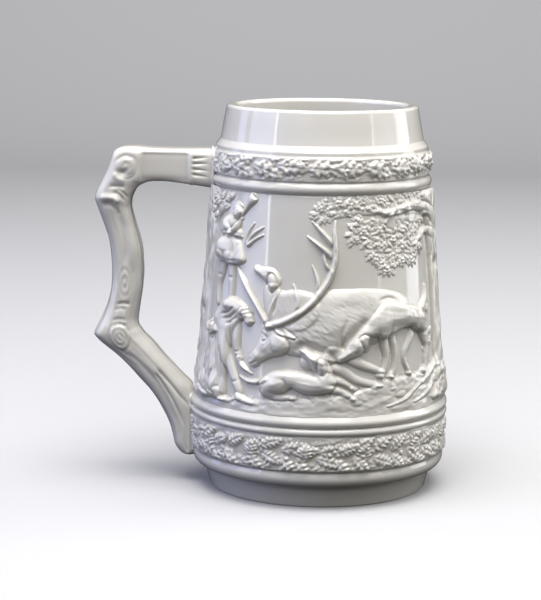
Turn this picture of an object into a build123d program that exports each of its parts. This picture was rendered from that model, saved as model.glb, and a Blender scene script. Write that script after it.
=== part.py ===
"""Relief beer stein: thrown body, branch handle, leaf bands and applied hunting figures.

Millimetres, +Z up. The origin is on the body's axis in the plane the foot ring stands on.
The handle is on the -X side, the main scene faces -Y.
Azimuths are degrees round the axis, 0 at the front (-Y), growing towards +X, handle at -90.
"""

from build123d import *
import math
import os

# Heights of the body's zones, from the foot upwards
FOOT_H = 9.0
LOW_BEAD_H = 6.2
LOW_BAND_H = 14.2
THIN_BEAD_H = 3.0
BIG_BEAD_H = 6.0
SCENE_H = 81.6
TOP_BEAD_H = 5.0
TOP_BAND_H = 10.0
COLLAR_H = 1.3
BEVEL_H = 2.4
NECK_H = 13.3

# Outer radii: the widest plain ground, and each step in or out from the zone below it
BASE_R = 50.4
FOOT_INSET = 4.6
FOOT_FLARE = 2.2
SCENE_INSET = 1.2
BODY_TAPER = 6.7
TOP_BAND_INSET = 0.2
COLLAR_INSET = 0.4
NECK_INSET = 1.9
NECK_TAPER = 2.1

# Beads and grooves, measured from the ground beside them
BEAD_PROUD = 1.2
GROOVE_DEPTH = 0.4
LOW_BEAD_SWELL = 3.6
LOW_BEAD_CREST = 2.2

# Walls, floor and foot ring; the rim is rounded inside and outside
WALL_T = 5.0
RIM_T = 4.6
RIM_ROUND = 1.6
FLOOR_T = 5.0
FLOOR_ROUND = 9.0
FOOT_RING_W = 5.1
FOOT_RECESS = 2.5
FOOT_EDGE = 0.8

# Leaf bands: thickness and the free edge left above and below each strip
BAND_T = 0.9
BAND_EDGE = 0.5

# Figures: thickness of each applied relief, and the wall they were drawn for, rolled flat
THIN_RELIEF = 0.9
MID_RELIEF = 1.4
FULL_RELIEF = 1.9
DRAWN_SCENE_H = 81.6
DRAWN_R = 46.0
TURF_H = 4.2
TURF_GAP = 0.3
CUTTER_SPARE = 1.0
FACETS_PER_POINT = 3

# Handle: a bent branch, luted on with slip
HANDLE_OUT = 39.8
HANDLE_W = 16.0
SLIMMING = 2.0
BRANCH_ROUND = 0.36
LUTE_T = 0.5
ROOT_DEPTH = 6.0

# Heights that follow from the zones
Z_LOW_BEAD = FOOT_H
Z_LOW_BAND = Z_LOW_BEAD + LOW_BEAD_H
Z_THIN_BEAD = Z_LOW_BAND + LOW_BAND_H
Z_BIG_BEAD = Z_THIN_BEAD + THIN_BEAD_H
Z_SCENE = Z_BIG_BEAD + BIG_BEAD_H
Z_TOP_BEAD = Z_SCENE + SCENE_H
Z_TOP_BAND = Z_TOP_BEAD + TOP_BEAD_H
Z_COLLAR = Z_TOP_BAND + TOP_BAND_H
Z_BEVEL = Z_COLLAR + COLLAR_H
Z_NECK = Z_BEVEL + BEVEL_H
Z_RIM = Z_NECK + NECK_H
Z_FLOOR = FOOT_RECESS + FLOOR_T

# Radii that follow from the steps
FOOT_TOP_R = BASE_R - FOOT_INSET
FOOT_R = FOOT_TOP_R - FOOT_FLARE
SCENE_LOW_R = BASE_R - SCENE_INSET
SCENE_TOP_R = SCENE_LOW_R - BODY_TAPER
TOP_GROUND_R = SCENE_TOP_R - TOP_BAND_INSET
COLLAR_R = TOP_GROUND_R - COLLAR_INSET
NECK_R = COLLAR_R - NECK_INSET
RIM_R = NECK_R - NECK_TAPER


def wall_r(z):
    """Outer radius of the plain conical wall behind the scene at height z."""
    share = (z - Z_SCENE) / SCENE_H
    return SCENE_LOW_R + (SCENE_TOP_R - SCENE_LOW_R) * share


def turn(edges):
    """Solid of revolution of a closed outline drawn as (radius, height)."""
    return revolve(Plane.XZ * make_face(Wire(edges)), Axis.Z)


def outer_line():
    """The body's outer outline from the foot's centre to the rim's centre."""
    low_groove_r = BASE_R - GROOVE_DEPTH
    top_groove_r = TOP_GROUND_R - GROOVE_DEPTH
    low_bead_r = FOOT_TOP_R + LOW_BEAD_SWELL
    thin_bead_r = BASE_R + BEAD_PROUD
    top_bead_r = TOP_GROUND_R + BEAD_PROUD
    return [
        Line((0, 0), (FOOT_R - FOOT_EDGE, 0)),
        RadiusArc((FOOT_R - FOOT_EDGE, 0), (FOOT_R, FOOT_EDGE), -FOOT_EDGE),
        Line((FOOT_R, FOOT_EDGE), (FOOT_TOP_R, Z_LOW_BEAD)),
        ThreePointArc(
            (FOOT_TOP_R, Z_LOW_BEAD),
            (low_bead_r, Z_LOW_BEAD + LOW_BEAD_CREST),
            (low_groove_r, Z_LOW_BAND),
        ),
        Line((low_groove_r, Z_LOW_BAND), (BASE_R, Z_LOW_BAND + GROOVE_DEPTH)),
        Line(
            (BASE_R, Z_LOW_BAND + GROOVE_DEPTH),
            (BASE_R, Z_THIN_BEAD - GROOVE_DEPTH),
        ),
        Line((BASE_R, Z_THIN_BEAD - GROOVE_DEPTH), (low_groove_r, Z_THIN_BEAD)),
        ThreePointArc(
            (low_groove_r, Z_THIN_BEAD),
            (thin_bead_r, Z_THIN_BEAD + THIN_BEAD_H / 2),
            (low_groove_r, Z_BIG_BEAD),
        ),
        ThreePointArc(
            (low_groove_r, Z_BIG_BEAD),
            (thin_bead_r, Z_BIG_BEAD + BIG_BEAD_H / 2),
            (SCENE_LOW_R, Z_SCENE),
        ),
        Line((SCENE_LOW_R, Z_SCENE), (SCENE_TOP_R, Z_TOP_BEAD)),
        Line((SCENE_TOP_R, Z_TOP_BEAD), (top_groove_r, Z_TOP_BEAD + GROOVE_DEPTH)),
        ThreePointArc(
            (top_groove_r, Z_TOP_BEAD + GROOVE_DEPTH),
            (top_bead_r, Z_TOP_BEAD + TOP_BEAD_H / 2),
            (top_groove_r, Z_TOP_BAND),
        ),
        Line((top_groove_r, Z_TOP_BAND), (TOP_GROUND_R, Z_TOP_BAND + GROOVE_DEPTH)),
        Line(
            (TOP_GROUND_R, Z_TOP_BAND + GROOVE_DEPTH),
            (TOP_GROUND_R, Z_COLLAR - GROOVE_DEPTH),
        ),
        Line((TOP_GROUND_R, Z_COLLAR - GROOVE_DEPTH), (COLLAR_R, Z_COLLAR)),
        Line((COLLAR_R, Z_COLLAR), (COLLAR_R, Z_BEVEL)),
        Line((COLLAR_R, Z_BEVEL), (NECK_R, Z_NECK)),
        Line((NECK_R, Z_NECK), (RIM_R, Z_RIM - RIM_ROUND)),
        RadiusArc((RIM_R, Z_RIM - RIM_ROUND), (RIM_R - RIM_ROUND, Z_RIM), -RIM_ROUND),
        Line((RIM_R - RIM_ROUND, Z_RIM), (0, Z_RIM)),
        Line((0, Z_RIM), (0, 0)),
    ]


def make_bulk():
    """The body's outside as a full solid, with no cavity."""
    return turn(outer_line())


def make_vessel(bulk):
    """Hollow body: drinking cavity inside, shallow recess inside the foot ring."""
    rim_inner = RIM_R - RIM_T
    floor_r = SCENE_LOW_R - WALL_T
    lip = Z_RIM - RIM_ROUND
    cavity = turn(
        [
            Line((0, Z_FLOOR), (floor_r - FLOOR_ROUND, Z_FLOOR)),
            RadiusArc(
                (floor_r - FLOOR_ROUND, Z_FLOOR),
                (floor_r, Z_FLOOR + FLOOR_ROUND),
                -FLOOR_ROUND,
            ),
            Line((floor_r, Z_FLOOR + FLOOR_ROUND), (floor_r, Z_SCENE)),
            Line((floor_r, Z_SCENE), (SCENE_TOP_R - WALL_T, Z_TOP_BEAD)),
            Line((SCENE_TOP_R - WALL_T, Z_TOP_BEAD), (NECK_R - WALL_T, Z_NECK)),
            Line((NECK_R - WALL_T, Z_NECK), (rim_inner, lip)),
            RadiusArc((rim_inner, lip), (rim_inner + RIM_ROUND, Z_RIM), RIM_ROUND),
            Line((rim_inner + RIM_ROUND, Z_RIM), (0, Z_RIM)),
            Line((0, Z_RIM), (0, Z_FLOOR)),
        ]
    )
    recess = Pos(0, 0, FOOT_RECESS / 2) * Cylinder(FOOT_R - FOOT_RING_W, FOOT_RECESS)
    return bulk - cavity - recess


def branch_stations():
    """Centre, run direction, depth and breadth of the branch, from the upper joint to the lower."""
    top = Z_TOP_BEAD + TOP_BEAD_H / 2
    low = Z_LOW_BEAD
    span = top - low
    out = BASE_R + HANDLE_OUT
    broad = HANDLE_W
    slim = HANDLE_W - SLIMMING
    return [
        ((-SCENE_TOP_R + ROOT_DEPTH, top + 3.6), (-1, 0), 15.8, broad),
        ((-out + 38.2, top + 4.2), (-1, 0), 14.3, broad),
        ((-out + 25.0, top + 4.4), (-1, 0), 13.2, broad),
        ((-out + 13.8, top + 3.5), (-0.86, -0.52), 16.0, broad),
        ((-out + 9.3, top - 3.5), (-0.51, -0.86), 14.2, broad),
        ((-out + 7.3, top - 9.5), (0, -1), 14.2, broad),
        ((-out + 9.8, low + span * 0.83), (0.22, -0.97), 12.8, slim),
        ((-out + 12.7, low + span * 0.72), (0.1, -1), 12.1, slim),
        ((-out + 12.7, low + span * 0.62), (-0.08, -1), 12.1, slim),
        ((-out + 10.7, low + span * 0.525), (-0.2, -0.98), 13.3, slim),
        ((-out + 8.6, low + span * 0.455), (0.26, -0.97), 16.6, broad),
        ((-out + 12.5, low + span * 0.415), (0.47, -0.88), 14.8, broad),
        ((-out + 17.5, low + span * 0.378), (0.55, -0.83), 13.7, broad),
        ((-out + 27.8, low + span * 0.279), (0.56, -0.83), 14.3, broad),
        ((-BASE_R - 4.0, low + span * 0.19), (0.46, -0.89), 16.6, broad),
        ((-BASE_R - 0.3, low + span * 0.08), (0.2, -0.98), 16.0, broad),
        ((-BASE_R + 3.0, low + 0.5), (0.15, -0.99), 14.2, broad),
    ]


def make_branch():
    """The whole branch, its ends run on into the body to be trimmed there."""
    sections = []
    for (x, z), (dx, dz), depth, breadth in branch_stations():
        plane = Plane(origin=(x, 0, z), x_dir=(0, 1, 0), z_dir=(dx, 0, dz))
        corner = min(depth, breadth) * BRANCH_ROUND
        sections.append(plane * RectangleRounded(breadth, depth, corner))
    return loft(sections, ruled=True)


def grown_bulk():
    """The body's outside grown by the thickness of the luting slip."""
    face = make_face(Wire(outer_line()))
    grown = offset(face, LUTE_T, kind=Kind.INTERSECTION)
    half = grown & (Pos(Z_RIM / 2, Z_RIM / 2) * Rectangle(Z_RIM, 2 * Z_RIM))
    return revolve(Plane.XZ * half, Axis.Z)


def handle_pieces(branch, bulk):
    """The handle, cut back from the body, and the slip that fills each joint."""
    grown = grown_bulk()
    handle = branch - grown
    slip = (branch & grown) - bulk
    middle = (Z_SCENE + Z_TOP_BEAD) / 2
    lower = [piece for piece in slip.solids() if piece.center().Z < middle]
    upper = [piece for piece in slip.solids() if piece.center().Z > middle]
    return handle, Compound(children=upper), Compound(children=lower)


def leaf_band(ground_r, z_low, z_high, branch):
    """Moulded strip of leaves round the body, butted against the handle's joint."""
    low = z_low + BAND_EDGE
    high = z_high - BAND_EDGE
    return (
        turn(
            [
                Line((ground_r, low), (ground_r + BAND_T, low)),
                Line((ground_r + BAND_T, low), (ground_r + BAND_T, high)),
                Line((ground_r + BAND_T, high), (ground_r, high)),
                Line((ground_r, high), (ground_r, low)),
            ]
        )
        - branch
    )


def scene_shell(thickness, z_low=Z_SCENE, z_high=Z_TOP_BEAD):
    """The layer of the given thickness that lies on the scene's wall."""
    low_r = wall_r(z_low)
    high_r = wall_r(z_high)
    return turn(
        [
            Line((low_r, z_low), (low_r + thickness, z_low)),
            Line((low_r + thickness, z_low), (high_r + thickness, z_high)),
            Line((high_r + thickness, z_high), (high_r, z_high)),
            Line((high_r, z_high), (low_r, z_low)),
        ]
    )


class Sprig:
    """One applied figure, drawn flat: mm round the wall from the front, mm above the scene's foot."""

    def __init__(self, middle, thickness):
        self.middle = middle
        self.thickness = thickness
        self.sketch = Sketch()

    def at(self, around, height):
        """Place of a drawn point in the plane that faces the figure."""
        rise = height * SCENE_H / DRAWN_SCENE_H
        aside = wall_r(Z_SCENE + rise) * math.sin((around - self.middle) / DRAWN_R)
        return (aside, Z_SCENE + rise)

    def shape(self, *points):
        """Add a rounded closed outline, cut as short straight facets between its points."""
        curve = Spline([self.at(*point) for point in points], periodic=True)
        count = FACETS_PER_POINT * len(points)
        corners = [curve @ (step / count) for step in range(count)]
        self.sketch += make_face(Polyline(corners, close=True).edges())
        return self

    def limb(self, width, *points):
        """Add a leg, tail, antler or branch of even width along straight runs."""
        placed = [self.at(*point) for point in points]
        for start, end in zip(placed, placed[1:]):
            run = Edge.make_line(start, end)
            middle = Pos(run @ 0.5)
            angle = math.degrees(math.atan2(end[1] - start[1], end[0] - start[0]))
            self.sketch += middle * Rot(0, 0, angle) * SlotCenterToCenter(run.length, width)
        return self

    def solid(self, *in_front):
        """The figure as a plate lying on the wall, cut clear of what lies in front of it."""
        angle = self.middle / DRAWN_R
        outward = (math.sin(angle), -math.cos(angle), 0)
        aside = (math.cos(angle), math.sin(angle), 0)
        plane = Plane(origin=(0, 0, 0), x_dir=aside, z_dir=outward)
        start = SCENE_TOP_R / 2
        depth = SCENE_LOW_R + FULL_RELIEF + CUTTER_SPARE - start
        block = extrude(plane.offset(start) * self.sketch, depth)
        plate = block & scene_shell(self.thickness)
        for other in in_front:
            plate -= other
        return plate


def stag():
    """Fallen stag, head low at the left, antlers spread above it."""
    figure = Sprig(7, FULL_RELIEF)
    figure.shape(
        (-28, 18), (-27, 22), (-23, 28), (-20, 33), (-12, 35), (-4, 40), (3, 46), (12, 46.6),
        (22, 46.4), (31, 44.6), (38, 40), (36, 34.5), (25, 33), (23.5, 24), (22, 17), (8, 14),
        (-2, 18), (-12, 20), (-22, 17),
    )
    figure.limb(2.4, (-18, 33), (-10, 35.5), (-3, 40), (2, 46), (5, 54), (6, 62), (5, 72))
    figure.limb(1.8, (-9.5, 36), (-9, 42), (-10, 47))
    figure.limb(1.8, (-3, 40), (-1, 47), (-2, 54))
    figure.limb(1.8, (5.5, 60), (0, 64), (-4, 67))
    figure.limb(1.8, (5.5, 64), (2, 67), (-2, 71))
    figure.limb(2.4, (-20, 33), (-25, 38), (-30, 44), (-34, 52))
    figure.limb(3.0, (4, 20), (8, 14), (20, 9.4))
    return figure


def hound_behind():
    """Hound that looks over the stag's neck, between the antlers."""
    figure = Sprig(-20, MID_RELIEF)
    figure.shape(
        (-26.5, 53), (-24, 54.6), (-19, 54), (-16, 50), (-14, 46), (-10, 45.5), (-9, 41),
        (-12, 36), (-18, 33), (-20.5, 38), (-21, 46), (-24, 50),
    )
    return figure


def hound_lying():
    """Hound lying in front of the stag, head raised."""
    figure = Sprig(-7, FULL_RELIEF)
    figure.shape(
        (-22, 8), (-19, 13), (-13, 15.6), (-5, 15.4), (-3, 17), (-7, 23.4), (-5, 24.4),
        (1, 21.6), (4, 17), (3.5, 9), (-3, 7), (-11, 8), (-17, 6.4),
    )
    figure.limb(1.6, (-20, 10.5), (-24, 10.4), (-28, 11))
    figure.limb(2.0, (1, 12), (6, 11.6), (11, 9.2))
    figure.limb(2.0, (1, 9), (6, 8.4), (11, 5.2))
    figure.limb(2.0, (-18, 7), (-17, 5.2), (-9, 5))
    return figure


def hound_standing():
    """Hound standing at the right, nose at the stag's chest."""
    figure = Sprig(29, FULL_RELIEF)
    figure.shape(
        (7.6, 21.6), (11, 27), (15, 32), (20, 38), (25, 41), (34, 39.6), (43, 38), (46, 34),
        (44, 29), (36, 30), (27, 28.5), (20, 29), (15, 22), (11, 21.4),
    )
    figure.limb(3.0, (23, 32), (24.5, 22), (24.5, 14))
    figure.limb(2.2, (27, 29), (29, 20), (29.5, 13))
    figure.limb(3.0, (43, 31), (47, 23), (47, 13.5))
    figure.limb(2.2, (38, 31), (41, 24), (38, 16))
    figure.limb(1.8, (44.5, 37), (48, 40), (49.5, 46))
    return figure


def hound_seated():
    """Hound sitting at the lower left, seen from behind."""
    figure = Sprig(-42, FULL_RELIEF)
    figure.shape(
        (-51, 3), (-51.5, 12), (-48, 22), (-47, 29), (-43.5, 31), (-40.5, 28), (-38, 18),
        (-35, 9), (-34, 3), (-42, 2),
    )
    return figure


def huntsman_kneeling():
    """Huntsman bending over the stag's head."""
    figure = Sprig(-39, MID_RELIEF)
    figure.shape(
        (-49, 22), (-50, 33), (-45, 39), (-37, 41), (-29, 38), (-26, 35), (-28, 31),
        (-33, 27), (-36, 22), (-42, 17),
    )
    figure.limb(3.2, (-33, 31), (-32, 24), (-29, 19), (-25, 17.5))
    figure.limb(3.2, (-38, 24), (-33, 14), (-29, 5))
    return figure


def huntsman_horn():
    """Huntsman standing behind, blowing a horn."""
    figure = Sprig(-42, MID_RELIEF)
    figure.shape(
        (-50, 45), (-51, 60), (-46, 68), (-43, 74), (-38, 77), (-34, 74), (-31, 66),
        (-32, 58), (-36, 50), (-37, 43), (-44, 41),
    )
    figure.limb(2.4, (-35, 72), (-31, 77), (-29, 79.5))
    return figure


def oak_tree():
    """Oak at the right: trunk, spread roots and one long bough."""
    figure = Sprig(52, FULL_RELIEF)
    figure.shape(
        (45, 3), (52, 9), (56, 20), (56.5, 40), (55.5, 60), (55, 77), (61, 79), (63, 60),
        (63.5, 40), (65, 20), (68, 8), (70, 2), (60, 1.5),
    )
    figure.limb(2.6, (57, 70), (50, 76), (42, 78.4), (33, 78.6))
    figure.limb(2.2, (52, 8), (44, 5), (36, 3))
    return figure


def oak_foliage():
    """Clusters of oak leaves hanging from the bough."""
    figure = Sprig(22, MID_RELIEF)
    figure.shape(
        (-5, 76), (0, 80), (12, 80.6), (26, 80.6), (38, 80.4), (48, 79), (50, 68), (47, 60),
        (40, 53), (29, 50.6), (25, 54), (22, 60), (14, 67), (6, 72), (0, 71),
    )
    return figure


def beech_tree():
    """Old trunk between the handle and the huntsmen."""
    figure = Sprig(-57, MID_RELIEF)
    figure.shape(
        (-64, 1.5), (-62.5, 30), (-62, 60), (-62.5, 79), (-55, 80), (-53, 60), (-54, 30),
        (-52.5, 10), (-49, 2), (-57, 1),
    )
    return figure


def back_oak():
    """Second oak on the far side."""
    figure = Sprig(137, FULL_RELIEF)
    figure.shape(
        (128, 2), (133, 12), (134, 34), (132.5, 56), (131.5, 74), (138, 75), (139, 56),
        (140.5, 34), (142, 12), (147, 2), (137, 1.5),
    )
    figure.limb(2.8, (134, 52), (125, 63), (115.5, 68))
    figure.limb(2.8, (139, 56), (148, 66), (157, 70))
    return figure


def back_foliage():
    """Leaf clusters of the second oak."""
    figure = Sprig(135, MID_RELIEF)
    figure.shape(
        (104, 77), (117, 80.5), (135, 80.6), (152, 80.5), (167, 76), (164, 66), (156, 61),
        (149, 68), (141, 66), (128, 66), (122, 60), (112, 58), (106, 66),
    )
    return figure


def resting_doe():
    """Doe lying on the far side, head raised."""
    figure = Sprig(105, FULL_RELIEF)
    figure.shape(
        (91, 8), (91.5, 20), (98, 25), (106, 24.5), (111, 27), (113, 36), (111.5, 41),
        (115, 45), (118, 41), (123.5, 38), (123, 35), (119, 34), (119, 25), (119, 14),
        (114, 6), (101, 4),
    )
    figure.limb(2.4, (116, 8), (123, 7.5), (125.5, 4.5))
    figure.limb(2.2, (113, 43), (109, 47))
    return figure


def trotting_hound():
    """Hound trotting towards the handle on the far side."""
    figure = Sprig(173, FULL_RELIEF)
    figure.shape(
        (157, 20), (159, 27), (167, 28), (176, 29), (180, 35), (184, 37), (187, 33),
        (193, 30), (191, 27), (185.5, 26), (181.5, 20), (176, 17), (167, 19),
    )
    figure.limb(2.8, (160, 21), (155, 13), (156.5, 5))
    figure.limb(2.4, (163, 20), (163, 12), (160, 5))
    figure.limb(2.6, (178, 19), (183, 12), (184.5, 5))
    figure.limb(2.4, (176, 18), (175, 11), (172, 6))
    figure.limb(1.8, (158, 25), (152.5, 29), (150, 36))
    return figure


def turf(*in_front):
    """Strip of turf that the figures stand on, butted against them and against the handle."""
    plate = scene_shell(THIN_RELIEF, Z_SCENE + TURF_GAP, Z_SCENE + TURF_H)
    for other in in_front:
        plate -= other
    return plate


def make_figures(branch):
    """All applied figures, front to back, each cut clear of those in front of it."""
    figures = {}
    figures["hound_lying"] = hound_lying().solid()
    figures["hound_standing"] = hound_standing().solid(figures["hound_lying"])
    figures["hound_seated"] = hound_seated().solid()
    nearest = list(figures.values())
    figures["huntsman_kneeling"] = huntsman_kneeling().solid(*nearest)
    figures["stag"] = stag().solid(*nearest, figures["huntsman_kneeling"])
    nearest = list(figures.values())
    figures["hound_behind"] = hound_behind().solid(*nearest)
    figures["huntsman_horn"] = huntsman_horn().solid(*nearest, figures["hound_behind"])
    nearest = list(figures.values())
    figures["oak_foliage"] = oak_foliage().solid(*nearest)
    figures["oak_tree"] = oak_tree().solid(*nearest, figures["oak_foliage"])
    figures["beech_tree"] = beech_tree().solid(*nearest, branch)
    figures["resting_doe"] = resting_doe().solid()
    figures["trotting_hound"] = trotting_hound().solid()
    figures["back_foliage"] = back_foliage().solid()
    figures["back_oak"] = back_oak().solid(
        figures["back_foliage"], figures["resting_doe"], figures["trotting_hound"]
    )
    figures["turf"] = turf(*figures.values(), branch)
    return figures


def make_all():
    """Every piece by node name."""
    bulk = make_bulk()
    branch = make_branch()
    handle, lute_upper, lute_lower = handle_pieces(branch, bulk)
    pieces = {
        "vessel": make_vessel(bulk),
        "handle": handle,
        "handle_lute_upper": lute_upper,
        "handle_lute_lower": lute_lower,
        "leaf_band_upper": leaf_band(TOP_GROUND_R, Z_TOP_BAND, Z_COLLAR, branch),
        "leaf_band_lower": leaf_band(BASE_R, Z_LOW_BAND, Z_THIN_BEAD, branch),
    }
    pieces.update(make_figures(branch))
    return pieces


os.makedirs("parts", exist_ok=True)
for node, piece in make_all().items():
    export_step(piece, f"parts/{node}.step")
    print(node, len(piece.solids()), round(piece.volume, 1))
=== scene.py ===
import math

import bmesh
import bpy
import numpy as np
from mathutils import Matrix, Vector


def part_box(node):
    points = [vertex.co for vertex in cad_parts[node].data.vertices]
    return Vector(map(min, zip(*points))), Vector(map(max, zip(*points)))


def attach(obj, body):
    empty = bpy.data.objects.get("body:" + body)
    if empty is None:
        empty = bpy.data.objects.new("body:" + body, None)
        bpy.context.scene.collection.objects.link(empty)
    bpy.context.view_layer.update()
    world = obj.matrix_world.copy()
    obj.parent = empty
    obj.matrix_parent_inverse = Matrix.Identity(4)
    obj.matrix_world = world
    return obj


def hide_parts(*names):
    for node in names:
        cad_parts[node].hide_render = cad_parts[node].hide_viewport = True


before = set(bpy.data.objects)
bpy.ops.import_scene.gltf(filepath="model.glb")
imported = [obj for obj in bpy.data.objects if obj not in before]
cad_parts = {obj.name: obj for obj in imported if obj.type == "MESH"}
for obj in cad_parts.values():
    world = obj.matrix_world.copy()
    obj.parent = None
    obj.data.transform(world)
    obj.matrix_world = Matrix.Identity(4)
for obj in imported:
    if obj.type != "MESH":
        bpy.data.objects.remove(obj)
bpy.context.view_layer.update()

# ---- Studio -------------------------------------------------------------------------------
# The stein stands on a pale sweep of paper. Broad lamps hang overhead and high in front, tall
# diffusers stand at the sides, and narrow gaps beside them draw the upright gleams on the glaze.
# Pieces are drawn in millimetres, as a potter measures; lamps and paper are placed in metres.

MM = 0.001
CAMERA_BACK = 803.5
CAMERA_UP = 208.8
CAMERA_DOWN_TILT = 9.56
CAMERA_SWING = 1.40
CAMERA_ROLL = 0.64
LENS = 122.2

camera = bpy.data.objects.new("camera", bpy.data.cameras.new("camera"))
camera.data.lens = LENS
camera.data.clip_end = 50
turned = (
    Matrix.Rotation(math.radians(CAMERA_SWING), 4, "Z")
    @ Matrix.Rotation(math.radians(90 - CAMERA_DOWN_TILT), 4, "X")
    @ Matrix.Rotation(math.radians(CAMERA_ROLL), 4, "Z")
)
camera.matrix_world = Matrix.Translation((0, -CAMERA_BACK * MM, CAMERA_UP * MM)) @ turned
bpy.context.scene.collection.objects.link(camera)
bpy.context.scene.camera = camera
bpy.context.scene.view_settings.view_transform = "Standard"


def lamp(name, bearing, distance, height, wide, tall, radiance, colour, aim=(0, 0, 0.08)):
    """Flat lamp facing the stein; bearing in degrees from the front, growing to the right."""
    data = bpy.data.lights.new(name, "AREA")
    data.shape = "RECTANGLE"
    data.size = wide
    data.size_y = tall
    data.energy = radiance * math.pi * wide * tall
    data.color = colour
    light = bpy.data.objects.new(name, data)
    angle = math.radians(bearing)
    place = Vector((distance * math.sin(angle), -distance * math.cos(angle), height))
    light.matrix_world = (
        Matrix.Translation(place)
        @ (Vector(aim) - place).to_track_quat("-Z", "Y").to_matrix().to_4x4()
    )
    bpy.context.scene.collection.objects.link(light)


COOL = (0.58, 0.64, 1.0)
lamp("overhead_lamp", 8, 0.22, 1.15, 1.0, 0.7, 9.4, (1.0, 0.99, 0.975))
lamp("front_lamp", 4, 0.9, 0.94, 1.0, 0.75, 2.9, (1.0, 0.985, 0.96))
lamp("left_diffuser", -72, 1.2, 0.45, 0.8, 1.0, 2.6, COOL)
lamp("left_edge", -104, 1.15, 0.45, 0.26, 1.0, 2.3, COOL)
lamp("left_gap", -54.6, 1.25, 0.40, 0.045, 0.9, 7.0, (0.95, 0.97, 1.0))
lamp("right_diffuser", 77, 1.2, 0.45, 0.8, 1.0, 0.9, (1.0, 0.99, 0.98))
lamp("right_edge", 105, 1.15, 0.45, 0.45, 1.0, 4.0, (0.97, 0.98, 1.0))
lamp("right_gap", 60, 1.25, 0.40, 0.028, 0.9, 6.0, (1.0, 0.98, 0.96))
lamp("backdrop_lamp", 180, 0.55, 1.7, 2.6, 0.5, 5.0, (1.0, 1.0, 1.0), aim=(0, 1.85, 0.75))

world = bpy.data.worlds.new("room")
world.use_nodes = True
dim = world.node_tree.nodes["Background"]
dim.inputs["Color"].default_value = (1.0, 0.97, 0.92, 1)
dim.inputs["Strength"].default_value = 0.042
bpy.context.scene.world = world

SWEEP_HALF = 2.4
SWEEP_FRONT = -1.6
SWEEP_BACK = 1.2
SWEEP_CURVE = 0.6
SWEEP_TOP = 2.2
SWEEP_STEPS = 12
bm = bmesh.new()
corner = [bm.verts.new((-SWEEP_HALF, SWEEP_FRONT, 0)), bm.verts.new((-SWEEP_HALF, SWEEP_BACK, 0))]
for step in range(1, SWEEP_STEPS + 1):
    angle = math.radians(90 * step / SWEEP_STEPS)
    y = SWEEP_BACK + SWEEP_CURVE * math.sin(angle)
    corner.append(bm.verts.new((-SWEEP_HALF, y, SWEEP_CURVE * (1 - math.cos(angle)))))
corner.append(bm.verts.new((-SWEEP_HALF, SWEEP_BACK + SWEEP_CURVE, SWEEP_TOP)))
edges = [bm.edges.new(pair) for pair in zip(corner, corner[1:])]
pulled = bmesh.ops.extrude_edge_only(bm, edges=edges)["geom"]
across = [v for v in pulled if isinstance(v, bmesh.types.BMVert)]
bmesh.ops.translate(bm, verts=across, vec=(2 * SWEEP_HALF, 0, 0))
bmesh.ops.recalc_face_normals(bm, faces=bm.faces)
for face in bm.faces:
    face.smooth = True
sweep_mesh = bpy.data.meshes.new("sweep")
bm.to_mesh(sweep_mesh)
bm.free()
sweep = bpy.data.objects.new("sweep", sweep_mesh)
bpy.context.scene.collection.objects.link(sweep)
paper = bpy.data.materials.new("paper")
paper.use_nodes = True
matt = paper.node_tree.nodes["Principled BSDF"]
matt.inputs["Base Color"].default_value = (0.50, 0.50, 0.51, 1)
matt.inputs["Roughness"].default_value = 0.7
sweep_mesh.materials.append(paper)
# No light comes back from the paper, as over the black cloth of a product table.
sweep.visible_diffuse = False
sweep.visible_glossy = False


# ---- Vessel -------------------------------------------------------------------------------
# The body is slip-cast creamware: foot ring, beads, cone, neck and rim in one, coated with a
# clear warm glaze that rounds every edge. Only the ring it stands on is wiped bare.

LOW_BEAD_H = 6.2
THIN_BEAD_H = 3.0
BIG_BEAD_H = 6.0
TOP_BEAD_H = 5.0
BAND_EDGE = 0.5
COLLAR_H = 1.3
BEVEL_H = 2.4
FOOT_INSET = 4.6
FOOT_FLARE = 2.2
SCENE_INSET = 1.2
BEAD_PROUD = 1.2
GROOVE = 0.4
BIG_BEAD_CREST = 1.9
BIG_BEAD_SLOPE = 3.3
BIG_BEAD_SHOULDER = 0.5
BIG_BEAD_LIP = 0.15
LOW_BEAD_CREST = 3.1
LOW_BEAD_SWELL = 4.5
TOP_BAND_INSET = 0.2
COLLAR_INSET = 0.4
NECK_INSET = 1.9
NECK_TAPER = 2.1
RELIEF_T = 0.9
WALL_T = 5.0
RIM_T = 4.6
RIM_ROUND = 1.6
FLOOR_T = 5.0
FLOOR_ROUND = 9.0
FOOT_RING_W = 5.1
FOOT_RECESS = 2.5
FOOT_EDGE = 0.8


def span(node):
    """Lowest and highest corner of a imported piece, in millimetres."""
    low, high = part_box(node)
    return low / MM, high / MM


low_band = span("leaf_band_lower")
top_band = span("leaf_band_upper")
z_rim = span("vessel")[1].z
z_low_band = low_band[0].z - BAND_EDGE
z_low_bead = z_low_band - LOW_BEAD_H
z_thin_bead = low_band[1].z + BAND_EDGE
z_big_bead = z_thin_bead + THIN_BEAD_H
z_scene = z_big_bead + BIG_BEAD_H
z_top_band = top_band[0].z - BAND_EDGE
z_top_bead = z_top_band - TOP_BEAD_H
z_collar = top_band[1].z + BAND_EDGE
z_bevel = z_collar + COLLAR_H
z_neck = z_bevel + BEVEL_H
base_r = low_band[1].x - RELIEF_T
foot_top_r = base_r - FOOT_INSET
foot_r = foot_top_r - FOOT_FLARE
scene_low_r = base_r - SCENE_INSET
top_ground_r = top_band[1].x - RELIEF_T
scene_top_r = top_ground_r + TOP_BAND_INSET
collar_r = top_ground_r - COLLAR_INSET
neck_r = collar_r - NECK_INSET
rim_r = neck_r - NECK_TAPER


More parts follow.
